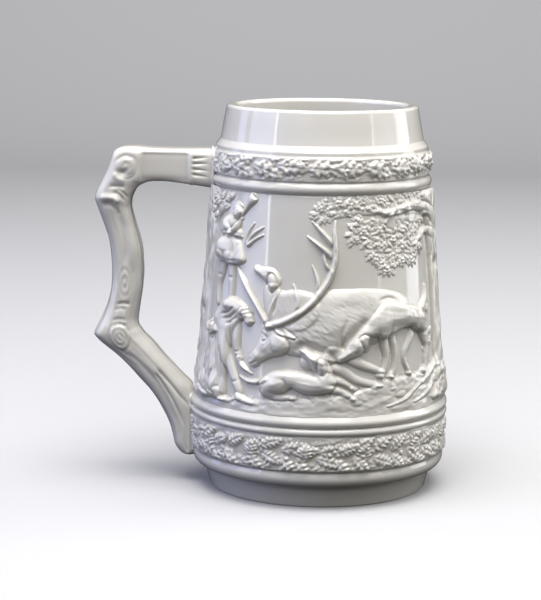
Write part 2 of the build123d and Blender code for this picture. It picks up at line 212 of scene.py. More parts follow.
def arc(start, middle, end, steps=16):
    """Points of the circular arc through three (radius, height) points."""
    (ax, ay), (bx, by), (cx, cy) = start, middle, end
    d = 2 * (ax * (by - cy) + bx * (cy - ay) + cx * (ay - by))
    aa, bb, cc = ax * ax + ay * ay, bx * bx + by * by, cx * cx + cy * cy
    ox = (aa * (by - cy) + bb * (cy - ay) + cc * (ay - by)) / d
    oy = (aa * (cx - bx) + bb * (ax - cx) + cc * (bx - ax)) / d
    turns = np.unwrap([math.atan2(y - oy, x - ox) for x, y in (start, middle, end)])
    radius = math.hypot(ax - ox, ay - oy)
    angles = np.linspace(turns[0], turns[2], steps + 1)
    return [(ox + radius * math.cos(t), oy + radius * math.sin(t)) for t in angles]


def quarter(start, corner, end):
    """Rounded corner between two points, bulging towards the corner."""
    share = 1 - math.sqrt(0.5)
    middle = [c + (s + e - 2 * c) * share for s, c, e in zip(start, corner, end)]
    return arc(start, tuple(middle), end, 8)


low_groove_r = base_r - GROOVE
top_groove_r = top_ground_r - GROOVE
floor_z = FOOT_RECESS + FLOOR_T
floor_r = scene_low_r - WALL_T
rim_inner = rim_r - RIM_T
outside = [
    (0, FOOT_RECESS),
    (foot_r - FOOT_RING_W, FOOT_RECESS),
    (foot_r - FOOT_RING_W, 0),
    *quarter((foot_r - FOOT_EDGE, 0), (foot_r, 0), (foot_r, FOOT_EDGE)),
    *arc(
        (foot_top_r, z_low_bead),
        (foot_top_r + LOW_BEAD_SWELL, z_low_bead + LOW_BEAD_CREST),
        (low_groove_r - GROOVE, z_low_band - GROOVE / 2),
    ),
    (base_r, z_low_band + GROOVE),
    (base_r, z_thin_bead - GROOVE),
    *arc(
        (low_groove_r, z_thin_bead),
        (base_r + BEAD_PROUD, z_thin_bead + THIN_BEAD_H / 2),
        (low_groove_r, z_big_bead),
    ),
    *arc(
        (low_groove_r, z_big_bead),
        (base_r + BEAD_PROUD, z_big_bead + BIG_BEAD_CREST),
        (base_r + BEAD_PROUD - BIG_BEAD_SHOULDER, z_big_bead + BIG_BEAD_SLOPE),
    )[1:],
    (scene_low_r + BIG_BEAD_LIP, z_scene - BIG_BEAD_SHOULDER),
    (scene_low_r, z_scene),
    (scene_top_r, z_top_bead),
    *arc(
        (top_groove_r, z_top_bead + GROOVE),
        (top_ground_r + BEAD_PROUD, z_top_bead + TOP_BEAD_H / 2),
        (top_groove_r, z_top_band),
    ),
    (top_ground_r, z_top_band + GROOVE),
    (top_ground_r, z_collar - GROOVE),
    (collar_r, z_collar),
    (collar_r, z_bevel),
    (neck_r, z_neck),
    *quarter((rim_r, z_rim - RIM_ROUND), (rim_r, z_rim), (rim_r - RIM_ROUND, z_rim)),
]
inside = [
    *quarter(
        (rim_inner + RIM_ROUND, z_rim), (rim_inner, z_rim), (rim_inner, z_rim - RIM_ROUND)
    ),
    (neck_r - WALL_T, z_neck),
    (scene_top_r - WALL_T, z_top_bead),
    (floor_r, z_scene),
    *quarter(
        (floor_r, floor_z + FLOOR_ROUND), (floor_r, floor_z), (floor_r - FLOOR_ROUND, floor_z)
    ),
    (0, floor_z),
]


def soften(points, reach, step=0.1):
    """Round the corners of a run of points as a coat of glaze does."""
    points = np.array(points, float)
    runs = np.hypot(*np.diff(points, axis=0).T)
    points = points[np.r_[True, runs > 1e-6]]
    at = np.r_[0, np.cumsum(np.hypot(*np.diff(points, axis=0).T))]
    even = np.linspace(0, at[-1], int(at[-1] / step) + 1)
    fine = np.stack([np.interp(even, at, points[:, k]) for k in range(2)], 1)
    half = int(3 * reach / step)
    kernel = np.exp(-0.5 * (np.arange(-half, half + 1) * step / reach) ** 2)
    kernel /= kernel.sum()
    first = 2 * fine[0] - fine[half:0:-1]
    last = 2 * fine[-1] - fine[-2 : -half - 2 : -1]
    padded = np.concatenate([first, fine, last])
    return np.stack([np.convolve(padded[:, k], kernel, "valid") for k in range(2)], 1)


GLAZE_ROUND = 0.28
SPIN_STEPS = 256
LONGEST_EDGE = 9.0
FLAT_TURN = 3.2
BARE_H = 0.06
profile = soften(outside + inside[1:], GLAZE_ROUND)
profile[:, 0] = np.maximum(profile[:, 0], 0)
profile[[0, -1], 0] = 0


def to_object(name, bm, materials, smooth=True):
    """Turn a finished bmesh, drawn in millimetres, into an object that rides on the stein."""
    bmesh.ops.scale(bm, vec=(MM, MM, MM), verts=bm.verts)
    if smooth is not None:
        for face in bm.faces:
            face.smooth = smooth
    mesh = bpy.data.meshes.new(name)
    bm.to_mesh(mesh)
    bm.free()
    for material in materials:
        mesh.materials.append(material)
    piece = bpy.data.objects.new(name, mesh)
    bpy.context.scene.collection.objects.link(piece)
    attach(piece, "root")
    return piece


def material_nodes(name):
    """A new material: itself, its shader, and helpers that add a node and join two sockets."""
    material = bpy.data.materials.new(name)
    material.use_nodes = True
    nodes = material.node_tree.nodes

    def add(kind, **values):
        node = nodes.new(kind)
        for socket, value in values.items():
            node.inputs[socket.replace("_", " ")].default_value = value
        return node

    return material, nodes["Principled BSDF"], add, material.node_tree.links.new


def glaze(name, body, pool_and_shade, roughness, grain):
    """Clear warm glaze over a cream body: deeper and darker in the hollows, as pooled glaze and as painted
    shade; faintly uneven, softly rippled.
    """
    material, shader, add, join = material_nodes(name)
    shader.inputs["IOR"].default_value = 1.52
    shader.inputs["Subsurface Weight"].default_value = 0.06
    shader.inputs["Subsurface Radius"].default_value = (1.0, 0.85, 0.7)
    shader.inputs["Subsurface Scale"].default_value = 0.0012
    shader.inputs["Coat Weight"].default_value = 0.25
    shader.inputs["Coat Roughness"].default_value = 0.03
    place = add("ShaderNodeTexCoord").outputs["Object"]
    # Hollow mask from each mesh: darkens recesses as pooled glaze and as painted shade.
    hollow_shade = add("ShaderNodeAttribute")
    hollow_shade.attribute_name = "pool_and_shade"
    cloud = add("ShaderNodeTexNoise", Scale=45, Detail=3)
    join(place, cloud.inputs["Vector"])
    spread = add("ShaderNodeMapRange", From_Min=0.35, From_Max=0.7, To_Max=0.22)
    join(cloud.outputs["Fac"], spread.inputs["Value"])
    depth = add("ShaderNodeMath")
    depth.operation = "ADD"
    depth.use_clamp = True
    join(hollow_shade.outputs["Fac"], depth.inputs[0])
    join(spread.outputs["Result"], depth.inputs[1])
    # Darker colour mixed in by the hollow mask (painted shade and pooled glaze) and by random mottle (uneven
    # tone).
    tint = add("ShaderNodeMix")
    tint.data_type = "RGBA"
    tint.inputs["A"].default_value = (*body, 1)
    tint.inputs["B"].default_value = (*pool_and_shade, 1)
    join(depth.outputs["Value"], tint.inputs["Factor"])
    join(tint.outputs["Result"], shader.inputs["Base Color"])
    sheen = add("ShaderNodeMapRange", To_Min=roughness, To_Max=roughness * 1.6)
    join(cloud.outputs["Fac"], sheen.inputs["Value"])
    join(sheen.outputs["Result"], shader.inputs["Roughness"])
    ripple = add("ShaderNodeTexNoise", Scale=420, Detail=2)
    join(place, ripple.inputs["Vector"])
    swell = add("ShaderNodeTexNoise", Scale=60)
    join(place, swell.inputs["Vector"])
    mixed = add("ShaderNodeMath")
    mixed.operation = "MULTIPLY_ADD"
    mixed.inputs[1].default_value = 6.0
    join(swell.outputs["Fac"], mixed.inputs[0])
    join(ripple.outputs["Fac"], mixed.inputs[2])
    bump = add("ShaderNodeBump", Strength=grain, Distance=0.00002)
    join(mixed.outputs["Value"], bump.inputs["Height"])
    join(bump.outputs["Normal"], shader.inputs["Normal"])
    return material


def bare_biscuit():
    """Unglazed fired clay, pale and finely speckled."""
    material, shader, add, join = material_nodes("bare_biscuit")
    shader.inputs["Roughness"].default_value = 0.85
    speck = add("ShaderNodeTexNoise", Scale=900, Detail=4)
    join(add("ShaderNodeTexCoord").outputs["Object"], speck.inputs["Vector"])
    earth = add("ShaderNodeMix")
    earth.data_type = "RGBA"
    earth.inputs["A"].default_value = (0.70, 0.66, 0.58, 1)
    earth.inputs["B"].default_value = (0.56, 0.51, 0.43, 1)
    join(speck.outputs["Fac"], earth.inputs["Factor"])
    join(earth.outputs["Result"], shader.inputs["Base Color"])
    bump = add("ShaderNodeBump", Strength=0.5, Distance=0.0001)
    join(speck.outputs["Fac"], bump.inputs["Height"])
    join(bump.outputs["Normal"], shader.inputs["Normal"])
    return material


CREAM = (0.66, 0.645, 0.61)
# Darker hollow colour: pooled glaze and painted shade in recesses.
POOLED_AND_SHADED = (0.52, 0.49, 0.43)
body_glaze = glaze("body_glaze", CREAM, POOLED_AND_SHADED, 0.07, 0.5)

bm = bmesh.new()
ring = [bm.verts.new((0, -r, z)) for r, z in profile]
edges = [bm.edges.new(pair) for pair in zip(ring, ring[1:])]
bmesh.ops.dissolve_limit(
    bm, angle_limit=math.radians(FLAT_TURN), verts=bm.verts[:], edges=bm.edges[:]
)
for edge in bm.edges[:]:
    cuts = int(edge.calc_length() / LONGEST_EDGE)
    if cuts:
        bmesh.ops.subdivide_edges(bm, edges=[edge], cuts=cuts)
bmesh.ops.spin(
    bm,
    geom=bm.verts[:] + bm.edges[:],
    cent=(0, 0, 0),
    axis=(0, 0, 1),
    angle=2 * math.pi,
    steps=SPIN_STEPS,
    use_merge=True,
)
bmesh.ops.remove_doubles(bm, verts=bm.verts, dist=1e-4)
bmesh.ops.recalc_face_normals(bm, faces=bm.faces)
for face in bm.faces:
    centre = face.calc_center_median()
    bare = abs(centre.z) < BARE_H and centre.xy.length > foot_r - FOOT_RING_W
    face.material_index = 1 if bare else 0
vessel = to_object("vessel_glazed", bm, [body_glaze, bare_biscuit()])
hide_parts("vessel")


# ---- Turf ---------------------------------------------------------------------------------
# The figures are pressed from clay in moulds, one behind another, and luted to the wall; the
# glaze then fills every crease. The turf goes on first: a low strip of rough ground round the
# foot of the scene, rising in a bank at the right.

PITCH = 0.25
WALL_AT = 46.0
BACK_DEPTH = 0.5
EDGE_SINK = 0.06
CREASE_FILL = 0.12
CLAY_SOFTNESS = 0.23
GLAZED_RISE = 1.22
# Reach of the hollow mask that paints shade and pooled glaze into creases.
POOL_SHADE_REACH = 1.3
TURF_SKIRT = 1.8
TURF_BAND = 18
TUFTS = 46
TUFT_PITCH = 6.2
relief_glaze = glaze("relief_glaze", CREAM, POOLED_AND_SHADED, 0.10, 0.6)


class Wall:
    """A stretch of the stein's wall rolled flat, and the height of all clay pressed on it so far."""

    def __init__(self, low, high, radius, roll_at=WALL_AT, pitch=PITCH):
        self.count = round(2 * math.pi * roll_at / pitch)
        self.pitch = 2 * math.pi * roll_at / self.count
        self.left = -2 * math.pi * roll_at / 4
        self.low = low
        self.rows = round((high - low) / pitch) + 1
        self.rise = (high - low) / (self.rows - 1)
        self.radius = radius
        self.roll_at = roll_at
        self.height = np.zeros((self.count + 1, self.rows))

    def point(self, around, z, out):
        """Place in space of a point on the rolled-out wall, raised by the given height."""
        turn = around / self.roll_at
        r = self.radius(z) + out
        return np.stack([r * np.sin(turn), -r * np.cos(turn), z], -1)


def flow(points, closed=False, steps=7):
    """Smooth run through the given points; any further numbers of a point run along with it."""
    p = np.array(points, float)
    before, after = (p[-1:], p[:2]) if closed else (2 * p[:1] - p[1:2], 2 * p[-1:] - p[-2:-1])
    p = np.concatenate([before, p, after])
    run = []
    for a, b, c, d in zip(p, p[1:], p[2:], p[3:]):
        t = np.linspace(0, 1, steps, endpoint=False)[:, None]
        run.append(
            b + 0.5 * t * (c - a + t * (2 * a - 5 * b + 4 * c - d + t * (3 * (b - c) + d - a)))
        )
    run = np.concatenate(run)
    return run if closed else np.concatenate([run, p[-2:-1]])


def distance(x, y, line):
    """Distance of each grid point from a run of points, and how far along the run it lies."""
    best = np.full(x.shape, 1e9)
    along = np.zeros(x.shape)
    last = len(line) - 1
    for i in range(last):
        ax, ay = line[i, :2]
        dx, dy = line[i + 1, :2] - line[i, :2]
        t = np.clip(((x - ax) * dx + (y - ay) * dy) / (dx * dx + dy * dy + 1e-9), 0, 1)
        d = (x - ax - t * dx) ** 2 + (y - ay - t * dy) ** 2
        along = np.where(d < best, (i + t) / last, along)
        best = np.minimum(best, d)
    return np.sqrt(best), along


def within(x, y, line):
    """Which grid points lie inside a closed run of points."""
    inside = np.zeros(x.shape, bool)
    for (ax, ay), (bx, by) in zip(line[:, :2], np.roll(line[:, :2], -1, axis=0)):
        if ay != by:
            crosses = ((ay > y) != (by > y)) & (x < (bx - ax) * (y - ay) / (by - ay) + ax)
            inside ^= crosses
    return inside


def mottle(x, y, seed):
    """Smooth random heights between -1 and 1, one bump to each unit of x and y."""
    table = np.random.default_rng(seed).uniform(-1, 1, (97, 89))
    xi, yi = np.floor(x).astype(int), np.floor(y).astype(int)
    fx, fy = x - xi, y - yi
    fx, fy = fx * fx * (3 - 2 * fx), fy * fy * (3 - 2 * fy)

    def at(i, j):
        return table[(xi + i) % 97, (yi + j) % 89]

    return (at(0, 0) * (1 - fx) + at(1, 0) * fx) * (1 - fy) + (
        at(0, 1) * (1 - fx) + at(1, 1) * fx
    ) * fy


def blur(heights, reach):
    """Soften heights over a reach given in grid steps."""
    half = max(1, int(2.6 * reach))
    kernel = np.exp(-0.5 * (np.arange(-half, half + 1) / reach) ** 2)
    kernel /= kernel.sum()
    padded = np.pad(heights, half, mode="edge")
    rows = sum(k * padded[i : i + heights.shape[0]] for i, k in enumerate(kernel))
    return sum(k * rows[:, i : i + heights.shape[1]] for i, k in enumerate(kernel))


class Clay:
    """One figure's clay, built up in height over a window of the rolled-out wall."""

    def __init__(self, wall, left, right, low, high):
        self.wall = wall
        self.i = max(0, int((left - wall.left) / wall.pitch))
        self.j = max(0, int((low - wall.low) / wall.rise))
        right_i = min(wall.count, int((right - wall.left) / wall.pitch) + 1)
        high_j = min(wall.rows - 1, int((high - wall.low) / wall.rise) + 1)
        across = wall.left + wall.pitch * np.arange(self.i, right_i + 1)
        up = wall.low + wall.rise * np.arange(self.j, high_j + 1)
        self.x, self.y = np.meshgrid(across, up, indexing="ij")
        self.h = np.zeros(self.x.shape)

    def near(self, line, reach):
        """The part of the window within reach of a run of points."""
        low, high = line[:, :2].min(0) - reach, line[:, :2].max(0) + reach
        i = (np.array([low[0], high[0]]) - self.x[0, 0]) / self.wall.pitch
        j = (np.array([low[1], high[1]]) - self.y[0, 0]) / self.wall.rise
        i = np.clip(i.astype(int) + [0, 2], 0, self.x.shape[0])
        j = np.clip(j.astype(int) + [0, 2], 0, self.x.shape[1])
        return (slice(*i), slice(*j))

    def lay(self, at, depth, edge, rise, keep, groove):
        """Lay clay where depth is positive; edge is how far its rounded shoulder runs in."""
        share = np.clip(depth / edge, 0, 1)
        shoulder = np.sqrt(1 - (1 - share) ** 2)
        under = self.h[at] - groove * np.exp(-((depth / 0.45) ** 2)) * (self.h[at] > 0)
        self.h[at] = np.maximum(under, 0) * (1 - (1 - keep) * shoulder) + rise * shoulder

    def limb(self, *points, rise=1.2, keep=0.5, groove=0.25):
        """A rounded limb along points of (across, up, half width, how far it stands out)."""
        line = flow([point if len(point) > 3 else (*point, 1) for point in points])
        wide = line[:, 2]
        at = self.near(line, wide.max() + 1)
        d, along = distance(self.x[at], self.y[at], line)
        r = np.interp(along, np.linspace(0, 1, len(line)), wide)
        out = np.clip(np.interp(along, np.linspace(0, 1, len(line)), line[:, 3]), 0, 1)
        slim = np.clip(r / wide.max(), 0.4, 1) ** 0.5
        self.lay(at, r - d, r, rise * slim * out, 1 - (1 - keep) * out, groove * out)
        return self

    def mass(self, *points, rise=1.5, edge=3.0, keep=0.5, groove=0.25, crown=0.0):
        """A body with the given closed outline; crown raises its middle further."""
        line = flow(points, closed=True)
        at = self.near(line, 1.5)
        x, y = self.x[at], self.y[at]
        d, _ = distance(x, y, np.concatenate([line, line[:1]]))
        depth = np.where(within(x, y, line), d, -d)
        deepest = max(depth.max(), 0.1)
        top = rise + crown * np.clip(depth / deepest, 0, 1) ** 1.2
        self.lay(at, depth, min(edge, deepest), top, keep, groove)
        return self

    def blob(self, x, y, rx, ry, angle=0.0, rise=0.6, keep=0.6, groove=0.15):
        """A rounded oval lump."""
        around = np.linspace(0, 2 * math.pi, 14, endpoint=False)
        ca, sa = math.cos(math.radians(angle)), math.sin(math.radians(angle))
        px, py = rx * np.cos(around), ry * np.sin(around)
        line = np.stack([x + px * ca - py * sa, y + px * sa + py * ca], 1)
        at = self.near(line, 1.2)
        gx, gy = self.x[at] - x, self.y[at] - y
        q = np.hypot((gx * ca + gy * sa) / rx, (-gx * sa + gy * ca) / ry)
        small = min(rx, ry)
        self.lay(at, (1 - q) * small, small, rise, keep, groove)
        return self

    def swell(self, x, y, rx, ry, rise, angle=0.0):
        """A soft muscle or hollow worked into clay that is already there."""
        ca, sa = math.cos(math.radians(angle)), math.sin(math.radians(angle))
        gx, gy = self.x - x, self.y - y
        q = ((gx * ca + gy * sa) / rx) ** 2 + ((-gx * sa + gy * ca) / ry) ** 2
        self.h = np.maximum(self.h + rise * np.exp(-q * 1.4) * np.clip(self.h / 0.5, 0, 1), 0)
        return self

    def soften(self, x, y, reach):
        """A joint wiped over with a wet brush."""
        at = self.near(np.array([(x, y)]), 2.2 * reach)
        share = np.exp(-(((self.x[at] - x) ** 2 + (self.y[at] - y) ** 2) / reach**2) ** 2)
        self.h[at] += share * (blur(self.h[at], 0.9 / self.wall.pitch) - self.h[at])
        return self

    def cut(self, *points, width=0.45, depth=0.5):
        """A line drawn with a modelling tool, fading at both ends; negative depth leaves a ridge."""
        line = flow(points)
        at = self.near(line, 3 * width)
        d, along = distance(self.x[at], self.y[at], line)
        fade = np.clip(np.sin(math.pi * np.clip(along, 0.03, 0.97)) * 1.8, 0, 1)
        here = np.clip(self.h[at] / 0.3, 0, 1)
        self.h[at] = np.maximum(self.h[at] - depth * np.exp(-((d / width) ** 2)) * fade * here, 0)
        return self

    def comb(self, angle, length, width, depth, seed, where=None):
        """Hair or grain combed into the clay at an angle, in degrees from level."""
        ca, sa = math.cos(math.radians(angle)), math.sin(math.radians(angle))
        s, t = self.x * ca + self.y * sa, -self.x * sa + self.y * ca
        bend = 0.5 * mottle(s / 6, t / 6, seed + 1)
        lines = mottle(s / length, (t + bend) / width, seed)
        lines += 0.5 * mottle(s / length * 1.7, (t + bend) / width * 2.1, seed + 2)
        here = np.clip((self.h - 0.35) / 0.5, 0, 1)
        if where is not None:
            x, y, rx, ry = where
            here = here * np.exp(-(((self.x - x) / rx) ** 2 + ((self.y - y) / ry) ** 2))
        self.h = np.maximum(self.h + depth * lines * here, 0)
        return self

    def leaf(self, x, y, angle, length, width, lobes=4, rise=0.7, keep=0.55, bite=0.34, bow=0.0):
        """A lobed leaf, stalk at (x, y), ridged from its midrib to each lobe; bow curls it sideways."""
        ca, sa = math.cos(math.radians(angle)), math.sin(math.radians(angle))
        tip = (x + length * ca, y + length * sa)
        at = self.near(np.array([(x, y), tip]), width)
        gx, gy = self.x[at] - x, self.y[at] - y
        if not gx.size:
            return self
        s = (gx * ca + gy * sa) / length
        t = -gx * sa + gy * ca - bow * length * np.clip(s, 0, 1) ** 2
        inner = np.clip(s, 0.001, 0.999)
        phase = lobes * (inner - 0.45 * np.abs(t) / length) + 0.15
        ridge = np.cos(2 * math.pi * phase)
        half = width / 2 * np.sin(math.pi * inner**0.8) ** 0.6
        half = half * (1 - bite * (0.5 - 0.5 * ridge))
        depth = np.where((s > 0) & (s < 1), half - np.abs(t), -1.0)
        arch = 1 - 0.3 * (2 * inner - 1) ** 2
        outer = np.clip(np.abs(t) / (width / 2), 0, 1)
        top = rise * arch * (0.88 + 0.3 * ridge * (0.25 + outer)) - 0.3 * np.exp(-((t / 0.24) ** 2))
        self.lay(at, depth, width * 0.22, top, keep, 0.35)
        return self

    def press(self, name, node, keep=0.6, least=0.05):
        """Press the finished clay on the wall and make its mesh, open edges sunk under the glaze."""
        wall = self.wall
        own = GLAZED_RISE * blur(self.h, CLAY_SOFTNESS / wall.pitch)
        window = (slice(self.i, self.i + own.shape[0]), slice(self.j, self.j + own.shape[1]))
        under = wall.height[window]
        raised = under * (1 - (1 - keep) * np.clip(own / 0.8, 0, 1)) + own
        gap = raised - under
        top = under + 0.5 * (gap + np.sqrt(gap * gap + CREASE_FILL**2))
        top = np.maximum(top - 0.5 * CREASE_FILL * (own < 1e-3), under)
        laid = own > least
        laid = np.pad(laid[1:, 1:] & laid[:-1, 1:] & laid[1:, :-1] & laid[:-1, :-1], 1)
        faces = laid[1:-1, 1:-1] | laid[2:, 1:-1] | laid[:-2, 1:-1] | laid[1:-1, 2:] | laid[1:-1, :-2]
        # Faces that meet only at a corner get a neighbour, so that the outline stays clean.
        for _ in range(2):
            a, b = faces[:-1, :-1], faces[1:, 1:]
            c, d = faces[1:, :-1], faces[:-1, 1:]
            faces[1:, :-1] |= a & b & ~c & ~d
            faces[:-1, :-1] |= c & d & ~a & ~b
        used = np.zeros(own.shape, bool)
        edge = np.zeros(own.shape, int)
        for di in (0, 1):
            for dj in (0, 1):
                used[di : di + faces.shape[0], dj : dj + faces.shape[1]] |= faces
                edge[di : di + faces.shape[0], dj : dj + faces.shape[1]] += faces
        rim = used & (edge < 4)
        if own.shape[0] == wall.count + 1:
            rim[[0, -1]] = rim[[1, -2]]
            raised[-1] = raised[0]
            under[-1] = under[0]
        top = np.where(used, top, under)
        wall.height[window] = np.maximum(wall.height[window], top)
        # Hollow mask: how far each point sits below its blurred surroundings; it darkens the glaze there as
        # painted shade in creases and as pooled glaze.
        pool_and_shade = np.clip((blur(top, POOL_SHADE_REACH / wall.pitch) - top) * 1.6, 0, 1)
        sunk = np.where(rim, under - EDGE_SINK, top)
        front = wall.point(self.x, self.y, sunk).reshape(-1, 3)
        back = wall.point(self.x, self.y, np.full(own.shape, -BACK_DEPTH)).reshape(-1, 3)
        cast(name, node, faces, front, back, pool_and_shade.reshape(-1))


def cast(name, node, faces, front, back, pool_and_shade):
    """Mesh of a pressed figure: a grid cut to its outline, with a closed back in the wall."""
    rows, columns = faces.shape
    bm = bmesh.new()
    bmesh.ops.create_grid(bm, x_segments=rows, y_segments=columns, size=1)
    order = bm.verts.layers.int.new("order")
    # Per-vertex hollow mask that darkens the glaze: painted shade and pooled glaze.
    depth = bm.verts.layers.float.new("pool_and_shade")
    for vert in bm.verts:
        i = round((vert.co.x + 1) / 2 * rows)
        j = round((vert.co.y + 1) / 2 * columns)
        vert[order] = i * (columns + 1) + j
    spare = []
    for face in bm.faces:
        middle = face.calc_center_median()
        i = int((middle.x + 1) / 2 * rows)
        j = int((middle.y + 1) / 2 * columns)
        if not faces[i, j]:
            spare.append(face)
    bmesh.ops.delete(bm, geom=spare, context="FACES")
    for vert in bm.verts:
        vert.co = front[vert[order]]
    bmesh.ops.remove_doubles(bm, verts=bm.verts, dist=0.01)
    grown = bmesh.ops.extrude_face_region(bm, geom=bm.faces[:], use_keep_orig=True)["geom"]
    raised = {item for item in grown if isinstance(item, bmesh.types.BMVert)}
    for vert in bm.verts:
        at = vert[order]
        if vert in raised:
            vert[depth] = pool_and_shade[at]
        else:
            vert.co = back[at]
    bmesh.ops.recalc_face_normals(bm, faces=bm.faces)
    for face in bm.faces:
        face.smooth = all(vert in raised for vert in face.verts)
    bm.verts.layers.int.remove(order)
    piece = to_object(name, bm, [relief_glaze], smooth=None)
    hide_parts(node)


def scene_radius(z):
    """Radius of the plain cone behind the scene."""
    return scene_low_r + (scene_top_r - scene_low_r) * (z - z_scene) / (z_top_bead - z_scene)


scene_wall = Wall(z_scene - TURF_SKIRT, z_top_bead + 0.5, scene_radius)

ring = 2 * math.pi * WALL_AT
turf = Clay(
    scene_wall, scene_wall.left, scene_wall.left + ring, z_scene - TURF_SKIRT, z_scene + TURF_BAND
)
bank = [
    (-72.3, 41), (-62, 41.5), (-50, 42), (-40, 41), (-30, 41.6), (-20, 42), (-8, 43.4), (4, 44.6),
    (12, 46), (20, 48), (25, 50), (31, 50.4), (40, 50.6), (48, 51.4), (56, 53), (64, 52.5),
    (72, 48), (82, 44), (96, 43), (112, 43.6), (128, 44.5), (140, 44), (152, 43), (170, 43.6),
    (190, 43), (205, 42), (216.8, 41),
]
bank_x, bank_y = zip(*bank)
crest = np.interp(turf.x, bank_x, bank_y) + 0.5 * mottle(turf.x / 3.1, turf.x * 0, 5)
depth = crest - turf.y
turf.lay((slice(None), slice(None)), depth, edge=1.6, rise=0.75, keep=0.5, groove=0)
rough = 0.22 * mottle(turf.x / 5, turf.y / 1.7, 11) + 0.12 * mottle(turf.x / 1.9, turf.y / 0.9, 12)
turf.h = np.maximum(turf.h + rough * np.clip(turf.h, 0, 1), 0)
for stone_x, stone_y, stone_w in (
    (32, 44, 2.6), (28.5, 46.5, 1.6), (14, 42, 2.2), (-46, 40.6, 2.4), (58, 46, 2.0), (86, 41, 3.0),
    (150, 41.2, 2.6), (196, 41, 2.4),
):
    turf.blob(stone_x, stone_y, stone_w, stone_w * 0.5, 8, rise=0.5)
for tuft in range(TUFTS):
    around = -70 + tuft * TUFT_PITCH
    foot = np.interp(around, bank_x, bank_y) - 1.4
    for blade in (-1, 0, 1):
        turf.limb(
            (around, foot, 0.4),
            (around + blade * 0.9, foot + 1.4, 0.35),
            (around + blade * 2.0, foot + 2.3 + 0.4 * (tuft % 3), 0.15),
            rise=0.35, groove=0.1,
        )
turf.press("turf_relief", "turf")


# ---- Beech trunk --------------------------------------------------------------------------
# An old trunk stands beside the handle, its bark combed upright, with one leafy bough over the
# huntsman's shoulder. Pressed clay, luted on like every figure.

beech = Clay(scene_wall, -69, -37, z_scene, z_top_bead + 0.5)
beech.mass(
    (-65.5, 38.6), (-64.5, 60), (-64.5, 90), (-66, 119.8), (-53, 119.8), (-53.5, 100), (-54.5, 80),
    (-53.5, 60), (-51.5, 47), (-48.5, 38.8), rise=1.2, edge=4,
)
beech.comb(88, 9, 1.4, 0.36, 21).comb(93, 5, 0.7, 0.28, 22)
beech.blob(-58.5, 72, 2.0, 3.2, 10, rise=0.3).blob(-58.5, 72, 1.0, 1.9, 10, rise=-0.5, keep=0.8)
beech.cut((-62, 52), (-59, 60), (-60.5, 70), depth=0.5).cut((-57, 80), (-58.5, 90), (-56, 101), depth=0.5)
beech.limb(
    (-56, 107, 2.2, 0), (-52, 110.6, 2.0, 0.6), (-47.4, 113.8, 1.7), (-42.5, 118.4, 1.2), rise=1.0,
    groove=0.7,
)
beech.comb(45, 4, 0.8, 0.3, 23, where=(-48, 113, 8, 7))
for x, y, angle, length in (
    (-52, 113, 120, 6.0), (-49, 114, 95, 5.5), (-46, 115.5, 70, 4.8), (-43.5, 117, 40, 4.2),
    (-54, 111, 150, 5.5), (-50, 116, 60, 4.5), (-55.5, 115, 100, 5.0), (-47.5, 113, 20, 4.6),
    (-51.5, 110.5, 195, 4.4),
):
    beech.leaf(x, y, angle, length, 3.0, 4, rise=0.8)
beech.press("beech_relief", "beech_tree")


# ---- Oak tree -----------------------------------------------------------------------------
# The oak closes the scene at the right: a furrowed trunk, roots running over the bank, and one
# long bough that carries the foliage. Pressed clay, its bark combed in, luted to the wall.

oak = Clay(scene_wall, 24, 76, z_scene, z_top_bead + 0.5)
oak.mass(
    (51, 38.7), (54, 47), (55.2, 60), (55.8, 80), (55, 98), (52.5, 112), (52, 120), (66.5, 120),
    (65.5, 100), (65.3, 80), (65.8, 60), (67.5, 48), (72, 38.7), rise=1.7, edge=3.6,
)
oak.limb(
    (60.5, 108, 3.4, 0), (57, 111.4, 2.8, 0.6), (51, 114.2, 2.3), (44, 115.4, 1.8), (36, 114.4, 1.5),
    (27, 113.2, 1.3), rise=1.6, groove=0.7,
)
oak.limb(
    (60, 100.6, 2.4, 0), (57, 103.6, 1.9, 0.6), (52, 105.2, 1.4), (47, 103, 1.0), (43.5, 100.5, 0.5),
    rise=1.2,
)
oak.limb(
    (60, 54, 3.0, 0), (57, 50, 2.6, 0.6), (51, 45.8, 1.5), (45.5, 42.2, 0.9), (38.5, 40.2, 0.4),
    rise=1.3,
)
oak.limb(
    (60.6, 60, 2.8, 0), (58, 55, 2.4, 0.6), (52.5, 51.2, 1.3), (46, 48, 0.9), (40, 45.6, 0.7),
    (34, 42, 0.6), (26, 40, 0.3), rise=1.2,
)
oak.limb((62, 48, 2.6), (60, 43, 2.0), (55, 39.8, 1.1), rise=1.2)
oak.comb(91, 13, 1.6, 0.36, 31, where=(60, 79, 7, 48)).comb(86, 6, 0.75, 0.3, 32)
oak.comb(-30, 6, 0.7, 0.2, 33, where=(46, 46, 9, 6)).comb(-8, 7, 0.7, 0.2, 34, where=(42, 114, 12, 4))
oak.cut((58, 56), (59.5, 70), (58, 84), depth=0.55).cut((62, 66), (61.5, 80), (63, 95), depth=0.5)
oak.cut((57.5, 88), (59, 98), (57, 108), depth=0.5).blob(60.5, 92, 1.7, 2.6, 0, rise=0.3)
oak.blob(60.5, 92, 0.8, 1.5, 0, rise=-0.5, keep=0.8)
for x, y, angle, length in (
    (49, 62, 60, 4), (49.5, 66, 95, 4.4), (50, 70, 120, 4), (51.5, 65, 30, 4), (48.5, 58, 140, 3.6),
    (52, 60, 70, 4), (51, 73, 75, 3.6), (49, 55.5, 100, 3.4),
):
    oak.leaf(x, y, angle, length, 2.4, 3, rise=0.6)
oak.press("oak_relief", "oak_tree")


# ---- Oak foliage --------------------------------------------------------------------------
# Sprays of small lobed leaves hang from the bough over the stag, each spray a fan of thin clay
# leaves pressed one over another and luted down with the bough.

